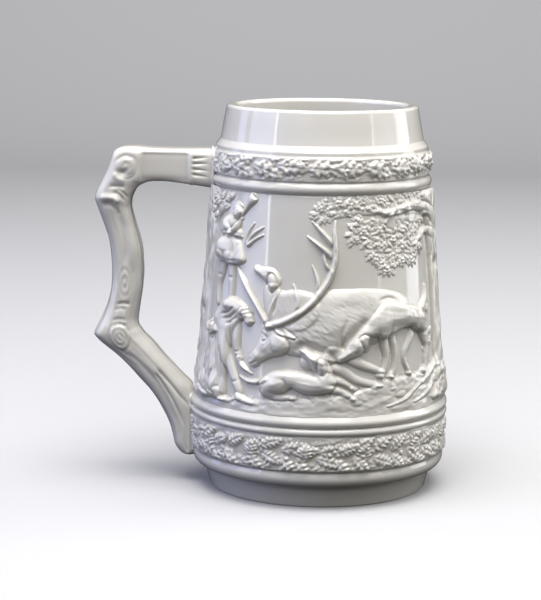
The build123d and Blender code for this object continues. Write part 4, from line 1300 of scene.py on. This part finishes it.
doe = Clay(scene_wall, 86, 130, z_scene, 90)
doe.limb((118, 47.4, 2.0), (123, 46.0, 1.5), (121, 43.0, 1.2), (113, 42.4, 1.0), rise=1.2)
doe.mass(
    (91, 46.4), (91.6, 58.4), (97, 62.8), (105, 63.4), (112, 64.0), (118.6, 62.4), (120.4, 57.4),
    (119, 50.4), (114, 44.4), (101, 42.6), (94, 43.6), rise=1.6, edge=5.0, crown=0.7,
)
doe.swell(97, 54, 4.4, 5.6, 0.5).swell(114.4, 57, 4.2, 5, 0.4).swell(105.6, 60, 4, 2.6, -0.15)
doe.cut((101.4, 60.6), (103, 54), (100, 47.6), width=0.8, depth=0.45)
doe.limb((95, 48, 2.4), (98, 44.2, 1.5), (105, 43.0, 1.2), (111, 42.6, 0.9), rise=1.1, keep=0.7, groove=0.4)
doe.limb((116, 60, 3.8), (115.4, 66, 3.0), (115.2, 71.6, 2.5), rise=1.2, keep=0.7, groove=0.2)
doe.mass(
    (111.4, 78.4), (113.0, 81.6), (116.4, 82.4), (118.6, 79.6), (121.4, 77.8), (124.2, 76.0),
    (124.6, 73.8), (121.4, 72.8), (117.6, 72.6), (113.6, 73.8), rise=1.6, edge=2.2, keep=0.6, groove=0.4,
)
doe.blob(117.6, 78.4, 0.8, 0.6, -20, rise=0.3, keep=0.95, groove=0.3)
doe.cut((124.0, 74.4), (121.8, 74.2), (120.2, 74.8), width=0.3, depth=0.45)
doe.blob(123.9, 75.6, 0.45, 0.35, rise=-0.3, keep=0.9).swell(116, 75.6, 2, 1.8, 0.2)
for ear in (
    ((113.6, 80.6), (111.4, 85.0), (108.0, 86.4), (108.8, 83.4), (111.4, 79.6)),
    ((116.0, 82.0), (116.6, 86.6), (114.0, 88.8), (113.6, 85.4), (113.8, 82.2)),
):
    doe.mass(*ear, rise=0.9, edge=1.0, keep=0.7)
doe.cut((112.2, 81.4), (110.6, 84.4), width=0.4, depth=0.35)
doe.cut((115.0, 83.0), (115.0, 86.4), width=0.4, depth=0.35)
doe.comb(8, 3, 0.6, 0.06, 63)
doe.press("resting_doe_relief", "resting_doe", keep=0.45)


# ---- Trotting hound -----------------------------------------------------------------------
# A hound trots towards the handle, tail up. Pressed clay; its far legs are laid first and lie
# lower than its near ones.

trot = Clay(scene_wall, 144, 198, z_scene, 80)
trot.limb((164, 61, 2.6), (163.4, 54, 1.8), (164, 48.6, 1.3), (161, 43.4, 1.1), rise=1.0)
trot.limb((177, 58, 2.4), (176, 52, 1.6), (175.4, 48.6, 1.2), (172, 44.0, 1.1), rise=1.0)
trot.limb((159.6, 63.6, 1.4), (155, 66.4, 1.1), (152, 70.4, 0.9), (151.4, 74.8, 0.4), rise=1.3)
trot.mass(
    (157.4, 58.6), (158.4, 64.8), (162.4, 67.0), (168, 66.6), (175, 67.6), (180.6, 70.6), (183.4, 68.4),
    (183, 62.6), (180, 57.0), (176.4, 55.4), (170, 57.2), (163, 57.2), rise=1.6, edge=4.0, crown=0.6,
)
trot.swell(162, 62.4, 3.8, 4.2, 0.45).swell(178.6, 63, 3.6, 4.6, 0.45).swell(170, 64, 5, 3, 0.15)
for rib in range(5):
    x = 169.4 + rib * 1.6
    trot.cut((x - 0.6, 65.6), (x, 63.0), (x - 0.4, 60), width=0.5, depth=0.07)
trot.limb((161, 61.4, 3.6), (157.4, 55.4, 2.4), (154.6, 51.4, 1.6), (156.4, 44.4, 1.3), rise=1.2, keep=0.65)
trot.limb((179, 61, 3.0), (181.6, 54.4, 2.0), (184.4, 49.4, 1.4), (184.4, 43.2, 1.3), rise=1.2, keep=0.65)
trot.limb((180, 66, 3.6), (182.6, 70, 3.0), (184.4, 72.4, 2.6), rise=0.9, keep=0.8, groove=0)
trot.mass(
    (181.4, 73.0), (183.6, 75.8), (187.0, 75.2), (189.4, 72.2), (193.0, 69.6), (193.6, 67.4),
    (191.2, 66.2), (187.4, 67.6), (183.8, 69.2), rise=1.6, edge=2.1, keep=0.6, groove=0.4,
)
trot.blob(187.6, 72.4, 0.65, 0.5, -30, rise=0.3, keep=0.95, groove=0.3)
trot.blob(193.1, 68.9, 0.65, 0.6, rise=0.3, keep=0.95)
trot.cut((192.6, 67.4), (190.2, 68.0), (188.0, 69.6), width=0.32, depth=0.45)
trot.mass(
    (183.0, 74.0), (185.2, 73.8), (185.8, 70.6), (184.4, 67.2), (182.6, 68.4), (181.8, 71.4),
    rise=0.8, edge=1.0, keep=0.85, groove=0.6,
)
for paw_x, paw_y in ((157.6, 43.4), (185.4, 42.4), (162, 42.9), (173, 43.4)):
    trot.blob(paw_x, paw_y, 1.8, 1.0, rise=0.9, keep=0.7)
    trot.cut((paw_x + 1.2, paw_y + 0.4), (paw_x + 0.8, paw_y - 0.6), width=0.22, depth=0.3)
trot.comb(5, 5, 0.6, 0.06, 64)
trot.press("trotting_hound_relief", "trotting_hound", keep=0.4)


# ---- Leaf bands ---------------------------------------------------------------------------
# Two moulded strips of oak leaves, acorns and berries run round the foot and the shoulder. Each
# strip comes from a long clay mould and is luted into its plain groove between two beads.

BAND_PITCH = 0.31
BAND_BACKING = 0.14
LOW_REPEATS = 42
TOP_REPEATS = 24


def leaf_strip(name, node, radius, low, high, fill):
    """A closed strip of moulded leaves between two beads."""
    wall = Wall(low, high, lambda z: radius + 0 * z, radius, BAND_PITCH)
    strip = Clay(wall, wall.left, wall.left + 2 * math.pi * radius + 1, low, high)
    fill(strip, wall.left, 2 * math.pi * radius, low, high)
    fade = np.clip(np.minimum(strip.y - low, high - strip.y) / 0.7, 0, 1)
    strip.h = BAND_BACKING + strip.h * fade**0.5
    strip.h[-1] = strip.h[0]
    strip.press(name, node, least=-1)


def foot_sprays(strip, left, around, low, high):
    """Slender notched leaves crossing each other over the whole strip, with acorns between."""
    middle = (low + high) / 2
    for n in range(-1, LOW_REPEATS + 2):
        random = np.random.default_rng(700 + n % LOW_REPEATS)
        x = left + n * around / LOW_REPEATS + random.uniform(-1.2, 1.2)
        lift = random.uniform(-1.0, 1.0)
        for dx, dz, heading, length, wide, rise in (
            (0.4, 3.6, 20, 7.6, 4.6, 0.4), (-0.6, -4.0, -16, 7.6, 4.6, 0.4),
            (2.8, 3.0, 156, 7.2, 4.0, 0.5), (1.8, -3.4, 204, 7.4, 4.0, 0.5),
            (-4.0, -0.8, -34, 10.6, 5.2, 0.7), (-3.4, 1.2, 28, 10.4, 5.4, 0.8),
        ):
            strip.leaf(
                x + dx + random.uniform(-1, 1), middle + dz + lift, heading + random.uniform(-20, 20),
                length + random.uniform(-1.8, 1.8), wide, 6, rise=rise, keep=0.5, bow=-0.05,
            )
        if n % 3 == 1:
            strip.leaf(x - 0.6, middle - 2.4, 84, 7.0, 7.0, 5, rise=0.75, keep=0.5)
        for _ in range(1 + n % 2):
            strip.blob(
                x + random.uniform(-3.2, 3.2), middle + random.uniform(-2.8, 2.2), 0.9, 1.1,
                random.uniform(0, 90), rise=0.5, keep=0.7, groove=0.4,
            )
    strip.comb(-25, 2.4, 0.6, 0.07, 95)


def shoulder_sprays(strip, left, around, low, high):
    """Broad lobed leaves lying along the strip, smaller ones filling in, as round the shoulder."""
    middle = (low + high) / 2
    for n in range(-1, TOP_REPEATS + 2):
        random = np.random.default_rng(170 + n % TOP_REPEATS)
        x = left + n * around / TOP_REPEATS + random.uniform(-0.8, 0.8)
        for dx, dz, heading, length, wide, rise in (
            (5.2, 2.4, 162, 7.0, 4.0, 0.4), (4.6, -2.4, 200, 7.4, 4.2, 0.4),
            (0.4, 2.8, 14, 7.4, 4.4, 0.45), (-5.4, -1.3, 14, 11.2, 5.6, 0.65),
            (-6.0, 1.1, -13, 12.6, 6.8, 0.8),
        ):
            strip.leaf(
                x + dx, middle + dz + random.uniform(-0.4, 0.4), heading + random.uniform(-12, 12),
                length + random.uniform(-1.4, 1.4), wide, 4, rise=rise, keep=0.5, bow=-0.05,
            )
        for _ in range(1 + n % 2):
            strip.blob(
                x + random.uniform(-3.6, 3.6), middle + random.uniform(-2.6, 2.4), 0.7, 0.8, 0,
                rise=0.4, keep=0.7, groove=0.3,
            )
    strip.comb(-30, 2.0, 0.6, 0.06, 96)


leaf_strip(
    "leaf_band_lower_relief", "leaf_band_lower", base_r, low_band[0].z, low_band[1].z, foot_sprays
)
leaf_strip(
    "leaf_band_upper_relief", "leaf_band_upper", top_ground_r, top_band[0].z, top_band[1].z, shoulder_sprays
)


# ---- Handle -------------------------------------------------------------------------------
# The handle is cast on its own as a gnarled branch: a squared bar at the top with a plain panel
# and four flutes on each side, a knot at each bend, an oval of grain between them and a scored
# leg running down to the foot. It is glazed with the body.

HANDLE_BROAD = 16.0
HANDLE_SLIM = 14.0
RING_STEP = 0.62
ROUND_COUNT = 168
BARK_FROM = 47
BARK_FADE = 6
SEAM_FADE = 2.5
# Second colour darkens the hollows: pooled glaze and painted shade.
handle_glaze = glaze("handle_glaze", (0.65, 0.632, 0.59), (0.5, 0.47, 0.41), 0.12, 0.8)

# For each station: the outer edge along and up, the inner edge along and up, breadth, squareness.
branch = np.array([
    (-38.5, 134.3, -38.5, 118.3, HANDLE_BROAD, 4.6), (-44.0, 134.3, -44.0, 118.8, HANDLE_BROAD, 4.8),
    (-51.8, 134.2, -51.8, 119.9, HANDLE_BROAD, 5.0), (-61.0, 134.2, -61.0, 120.9, HANDLE_BROAD, 5.0),
    (-68.0, 134.4, -67.5, 120.8, HANDLE_BROAD, 4.8), (-73.5, 134.8, -71.0, 119.6, HANDLE_BROAD, 4.2),
    (-78.6, 134.5, -73.0, 118.0, HANDLE_BROAD, 3.6), (-82.0, 132.8, -74.0, 116.2, HANDLE_BROAD, 3.2),
    (-83.6, 129.2, -74.6, 114.8, HANDLE_BROAD, 3.0), (-85.3, 124.8, -75.0, 113.6, HANDLE_BROAD, 2.9),
    (-87.3, 120.6, -75.1, 112.6, HANDLE_BROAD, 2.9), (-89.0, 117.0, -75.1, 111.5, HANDLE_BROAD, 2.9),
    (-89.8, 114.2, -75.0, 110.3, HANDLE_BROAD - 0.3, 2.9),
    (-88.8, 110.8, -74.6, 108.5, HANDLE_BROAD - 0.8, 2.8),
    (-86.4, 104.3, -73.6, 104.3, HANDLE_SLIM, 2.7), (-84.4, 98.2, -72.1, 98.8, HANDLE_SLIM, 2.6),
    (-83.4, 92.1, -70.9, 92.6, HANDLE_SLIM, 2.6), (-83.1, 84.0, -70.6, 84.6, HANDLE_SLIM, 2.6),
    (-83.5, 77.2, -70.9, 78.0, HANDLE_SLIM, 2.6), (-84.9, 71.7, -72.0, 71.2, HANDLE_SLIM + 0.4, 2.6),
    (-87.2, 66.1, -72.8, 66.0, HANDLE_BROAD - 0.8, 2.6), (-89.2, 61.9, -72.6, 63.4, HANDLE_BROAD, 2.7),
    (-90.2, 59.2, -72.0, 62.2, HANDLE_BROAD, 2.7), (-88.9, 57.4, -71.2, 61.2, HANDLE_BROAD, 2.7),
    (-86.4, 55.0, -69.9, 59.4, HANDLE_BROAD, 2.5), (-81.7, 51.2, -66.6, 56.2, HANDLE_BROAD, 2.35),
    (-76.6, 46.5, -62.3, 51.2, HANDLE_BROAD, 2.25), (-72.0, 41.4, -58.0, 46.8, HANDLE_BROAD, 2.2),
    (-67.4, 36.3, -54.6, 43.2, HANDLE_BROAD, 2.2), (-63.2, 30.2, -51.2, 39.4, HANDLE_BROAD, 2.25),
    (-59.9, 23.7, -48.8, 33.4, HANDLE_BROAD, 2.3), (-58.4, 18.5, -48.0, 26.0, HANDLE_BROAD, 2.4),
    (-57.3, 14.7, -47.6, 19.6, HANDLE_BROAD, 3.0), (-55.2, 11.9, -46.8, 15.2, HANDLE_BROAD, 3.0),
    (-52.6, 10.2, -46.4, 11.8, HANDLE_BROAD, 3.0),
])
line = flow(branch, steps=10)
middle = (line[:, 0:2] + line[:, 2:4]) / 2
run = np.r_[0, np.cumsum(np.hypot(*np.diff(middle, axis=0).T))]
rings = int(run[-1] / RING_STEP)
even = np.linspace(0, run[-1], rings + 1)
station = np.stack([np.interp(even, run, line[:, k]) for k in range(6)], 1)
centre = (station[:, 0:2] + station[:, 2:4]) / 2
outward = (station[:, 0:2] - station[:, 2:4]) / 2
half_deep = np.hypot(*outward.T)[:, None]
outward = outward / half_deep
around = np.linspace(0, 2 * math.pi, ROUND_COUNT + 1)
square = station[:, 5][:, None]
reach = (np.abs(np.cos(around)) ** square + np.abs(np.sin(around)) ** square) ** (-1 / square)
cos_share, sin_share = reach * np.cos(around), reach * np.sin(around)
lean_deep = np.sign(cos_share) * np.abs(cos_share) ** (square - 1)
lean_side = np.sign(sin_share) * np.abs(sin_share) ** (square - 1)
steep = np.hypot(lean_deep, lean_side)
deep = half_deep * cos_share
side = station[:, 4][:, None] / 2 * sin_share
tail = np.clip((even[-1] - even) / 2.0, 0, 1)[:, None]
close = np.sqrt(1 - (1 - tail) ** 2) * 0.35 + 0.65
deep, side = deep * close, side * close
across = centre[:, 0][:, None] + outward[:, 0][:, None] * deep
up = centre[:, 1][:, None] + outward[:, 1][:, None] * deep


def scored(x, z, *points, width=0.6, depth=0.5):
    """A line drawn on the flank with a modelling tool, fading at both ends."""
    d, along = distance(x, z, flow(points))
    fade = np.clip(np.sin(math.pi * np.clip(along, 0.02, 0.98)) * 2, 0, 1)
    return depth * np.exp(-((d / width) ** 2)) * fade


def knot(x, z, knot_x, knot_z, wide, tall, lean, turns):
    """A healed branch knot: a low dome with grain rings round a small pit."""
    ca, sa = math.cos(math.radians(lean)), math.sin(math.radians(lean))
    dx, dz = x - knot_x, z - knot_z
    far = np.hypot((dx * ca + dz * sa) / wide, (dz * ca - dx * sa) / tall)
    far = far + 0.06 * mottle(x / 4.4 + 9, z / 4.4, 77)
    rise = 0.32 * np.clip(1.15 - far, 0, 1) ** 0.7
    rise += 0.12 * np.cos(2 * math.pi * far * turns) * np.exp(-((far / 1.15) ** 6))
    return rise - 0.28 * np.exp(-(((far - 1.12) / 0.13) ** 2))


def rise_on_flank(x, z):
    """What is modelled on each flat side of the branch, in millimetres out from it."""
    soft = 0.28
    panel = (
        1 / (1 + np.exp(-(x + 70.9) / soft)) / (1 + np.exp((x + 52.1) / soft))
        / (1 + np.exp(-(z - 121.2) / soft)) / (1 + np.exp((z - 132.5) / soft))
    )
    rise = -0.7 * panel
    rise += 0.45 * np.exp(-(((x + 51.3) / 0.8) ** 4)) * (z < 132.6)
    rise += 0.3 * np.exp(-(((x + 72.2) / 1.0) ** 2)) * (z > 121) * (z < 132.6)
    for start_z, end_z in ((130.5, 131.1), (128.4, 128.6), (126.3, 125.8), (124.2, 123.3)):
        share = np.clip((x + 50.6) / 6.2, 0, 1)
        off = z - (start_z + (end_z - start_z) * share)
        wedge = np.clip((x + 50.6) / 0.3, 0, 1) * (1 - share) ** 0.7
        rise -= 0.85 * wedge * np.exp(-((off / (0.25 + 0.35 * (1 - share))) ** 2))
    rise += knot(x, z, -76.9, 127.0, 4.0, 4.3, 0, 1.7)
    rise -= scored(x, z, (-80.8, 129.4), (-77.6, 131.2), (-73.8, 130.4), depth=0.4)
    rise -= 1.1 * np.exp(-(((x + 78.1 - 0.4 * (124.8 - z)) / 1.7) ** 2) - ((z - 124.8) / 1.1) ** 2)
    rise += scored(x, z, (-81.6, 124.6), (-80.4, 122.4), (-76.6, 121.4), width=1.0, depth=0.5)
    rise -= scored(x, z, (-83.8, 119.4), (-80.2, 119.2), (-77.2, 118.8), width=0.7, depth=0.7)
    rise -= scored(x, z, (-82.2, 117.0), (-79.8, 116.2), (-77.4, 113.4), width=0.5, depth=0.6)
    rise -= scored(x, z, (-80.6, 118.0), (-78.4, 117.0), (-76.2, 114.6), width=0.4, depth=0.45)
    rise += scored(x, z, (-88.0, 114.2), (-84.4, 114.7), (-81.4, 114.2), (-79.4, 112.2), width=1.1, depth=1.0)
    rise -= scored(x, z, (-87.0, 111.9), (-83.4, 112.0), (-80.8, 110.2), (-79.2, 107.0), width=0.9, depth=0.7)
    rise -= scored(
        x, z, (-81.8, 110.4), (-79.2, 105), (-78.0, 100), (-77.1, 94), (-77.5, 87), width=1.3,
        depth=0.45,
    )
    rise += scored(x, z, (-77.4, 110), (-75.4, 103), (-74.2, 95), (-73.6, 84), width=1.5, depth=0.3)
    grain = np.hypot((x + 77.4) / 2.5, (z - 80.6) / 6.0)
    waver = grain * 1.7 + 0.12 * mottle(x / 3, z / 5, 78)
    rise += 0.12 * np.cos(2 * math.pi * waver) * np.exp(-((grain / 1.25) ** 4))
    for left, right, level, depth in (
        (-80.8, -75.0, 72.2, 0.7), (-81.6, -76.8, 70.1, 0.4), (-82.6, -76.8, 65.8, 0.55),
        (-82.4, -76.4, 63.6, 0.4),
    ):
        bow = (left + right) / 2
        rise -= scored(x, z, (left, level - 0.4), (bow, level + 0.3), (right, level - 0.2), depth=depth)
    rise += knot(x, z, -79.3, 58.8, 3.7, 5.2, 20, 2.4)
    rise -= scored(
        x, z, (-80.6, 53.6), (-76, 51.4), (-72, 48.6), (-65.8, 42.2), (-61.4, 35.6), (-55.5, 25.5),
        width=1.2, depth=0.55,
    )
    rise -= scored(x, z, (-64.6, 46.2), (-61.0, 42.3), (-56.3, 36.8), (-51.4, 30.8), width=0.6, depth=0.95)
    rise -= scored(x, z, (-65.2, 44.6), (-62.8, 41.0), (-58.2, 33.5), (-53.0, 22.5), width=0.6, depth=0.8)
    rise += scored(x, z, (-72.0, 56.4), (-65.6, 50.4), (-58.4, 43.4), (-52.4, 36.2), width=2.0, depth=0.45)
    return rise


bark = even[:, None] + 0 * around
half_broad = HANDLE_BROAD / 2
girth = around[None, :] * half_broad
gnarl = np.clip((even - BARK_FROM) / BARK_FADE, 0, 1)[:, None]
grooved = 0.26 * mottle(bark / 17, (girth + 1.3 * mottle(bark / 9, girth / 6, 73)) / 2.3, 71)
grooved += 0.1 * mottle(bark / 9, girth / 1.1, 72)
seam = np.clip(np.minimum(girth, 2 * math.pi * half_broad - girth) / SEAM_FADE, 0, 1)
flat = np.clip(np.abs(sin_share) * 1.6 - 0.55, 0, 1)
out = gnarl * grooved * seam + flat * rise_on_flank(across, up)
lump = 0.22 * mottle(bark / 9, around[None, :] / 1.4 + 0 * bark, 74) * gnarl * seam
out = (out + lump) * np.clip(np.minimum(even - 1, even[-1] - even - 0.6), 0, 1)[:, None]
push_deep = out * lean_deep / steep
push_side = out * lean_side / steep
x_at = across + outward[:, 0][:, None] * push_deep
z_at = up + outward[:, 1][:, None] * push_deep
y_at = side + push_side
place = np.stack([x_at, y_at, z_at], -1)
place[:, -1] = place[:, 0]
# Hollows of the carving darken the glaze: painted shade and pooled glaze.
handle_pool_shade = np.clip((blur(out, 2.4) - out) * 1.1, 0, 1)

bm = bmesh.new()
bmesh.ops.create_grid(bm, x_segments=rings, y_segments=ROUND_COUNT, size=1)
pool_shade_layer = bm.verts.layers.float.new("pool_and_shade")
for vert in bm.verts:
    i = round((vert.co.x + 1) / 2 * rings)
    j = round((vert.co.y + 1) / 2 * ROUND_COUNT)
    vert.co = place[i, j]
    vert[pool_shade_layer] = handle_pool_shade[i, j]
bmesh.ops.remove_doubles(bm, verts=bm.verts, dist=0.002)
bmesh.ops.holes_fill(bm, edges=[edge for edge in bm.edges if edge.is_boundary], sides=0)
bmesh.ops.recalc_face_normals(bm, faces=bm.faces)
handle = to_object("branch_handle", bm, [handle_glaze])
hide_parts("handle")


# ---- Luting slip --------------------------------------------------------------------------
# Slip squeezed out where the branch was pressed on the body, wiped to a soft fillet with a
# finger before the glaze: one closed ring at the top, one horseshoe at the foot.

SLIP_BEAD = 1.0
SLIP_STEP = 0.5
SLIP_SIDES = 12
SEAM_GAP = 0.15
TOP_JOINT_RINGS = 60
FOOT_JOINT_FROM = 0.7
slip_glaze = glaze("slip_under_glaze", (0.69, 0.675, 0.635), (0.54, 0.51, 0.445), 0.12, 0.6)


def outer_radius(z):
    """Radius of the glazed outside of the body at a height."""
    side = profile[: np.argmax(profile[:, 1])]
    side = side[side[:, 0] > foot_r - FOOT_EDGE]
    order = np.argsort(side[:, 1])
    return np.interp(z, side[order, 1], side[order, 0])


def crossing(start, end):
    """Where the branch passes through the body between two of its mesh points."""
    share = clear[start] / (clear[start] - clear[end])
    return place[start] + share * (place[end] - place[start])


clear = np.hypot(x_at, y_at) - outer_radius(z_at) - SEAM_GAP
upper_seam = []
for j in range(0, ROUND_COUNT, 3):
    for i in range(TOP_JOINT_RINGS):
        if clear[i, j] < 0 <= clear[i + 1, j]:
            upper_seam.append(crossing((i, j), (i + 1, j)))
            break
lower_seam = []
for step in (-1, 1):
    flank = []
    for i in range(rings - 3, int(rings * FOOT_JOINT_FROM), -2):
        for j in range(ROUND_COUNT // 2, 0 if step < 0 else ROUND_COUNT, step):
            other = (j + step) % ROUND_COUNT
            if (clear[i, j] < 0) != (clear[i, other] < 0):
                flank.append(crossing((i, j), (i, other)))
                break
    lower_seam += flank if step < 0 else flank[::-1]


def slip_bead(name, points, closed, node):
    """A soft round bead of slip along a joint."""
    points = np.array(points)
    if closed:
        points = np.concatenate([points, points[:1]])
    runs = np.r_[0, np.cumsum(np.linalg.norm(np.diff(points, axis=0), axis=1))]
    count = int(runs[-1] / SLIP_STEP)
    even = np.linspace(0, runs[-1], count + 1)
    path = np.stack([np.interp(even, runs, points[:, k]) for k in range(3)], 1)
    for _ in range(8):
        if closed:
            ends = np.concatenate([path[-2:-1], path, path[1:2]])
            path = (ends[:-2] + 2 * ends[1:-1] + ends[2:]) / 4
        else:
            path[1:-1] = (path[:-2] + 2 * path[1:-1] + path[2:]) / 4
    along = np.gradient(path, axis=0)
    if closed:
        along[[0, -1]] = path[1] - path[-2]
    along /= np.linalg.norm(along, axis=1)[:, None]
    away = path * (1, 1, 0)
    away -= along * (away * along).sum(1)[:, None]
    away /= np.linalg.norm(away, axis=1)[:, None]
    aside = np.cross(along, away)
    turn = np.linspace(0, 2 * math.pi, SLIP_SIDES + 1)[None, :, None]
    thick = SLIP_BEAD * (1 + 0.12 * mottle(even / 3, even * 0, 81))[:, None, None]
    if not closed:
        ends = np.clip(np.minimum(even, even[-1] - even) / 1.2, 0, 1)
        thick = thick * (0.15 + 0.85 * np.sqrt(1 - (1 - ends) ** 2))[:, None, None]
    tube = np.cos(turn) * away[:, None] * 0.8 + np.sin(turn) * aside[:, None]
    ring = path[:, None] + thick * tube
    bm = bmesh.new()
    bmesh.ops.create_grid(bm, x_segments=count, y_segments=SLIP_SIDES, size=1)
    for vert in bm.verts:
        vert.co = ring[round((vert.co.x + 1) / 2 * count), round((vert.co.y + 1) / 2 * SLIP_SIDES)]
    bmesh.ops.remove_doubles(bm, verts=bm.verts, dist=0.002)
    bmesh.ops.holes_fill(bm, edges=[edge for edge in bm.edges if edge.is_boundary], sides=0)
    bmesh.ops.recalc_face_normals(bm, faces=bm.faces)
    piece = to_object(name, bm, [slip_glaze])
    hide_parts(node)


slip_bead("slip_upper", upper_seam, True, "handle_lute_upper")
slip_bead("slip_lower", lower_seam, False, "handle_lute_lower")
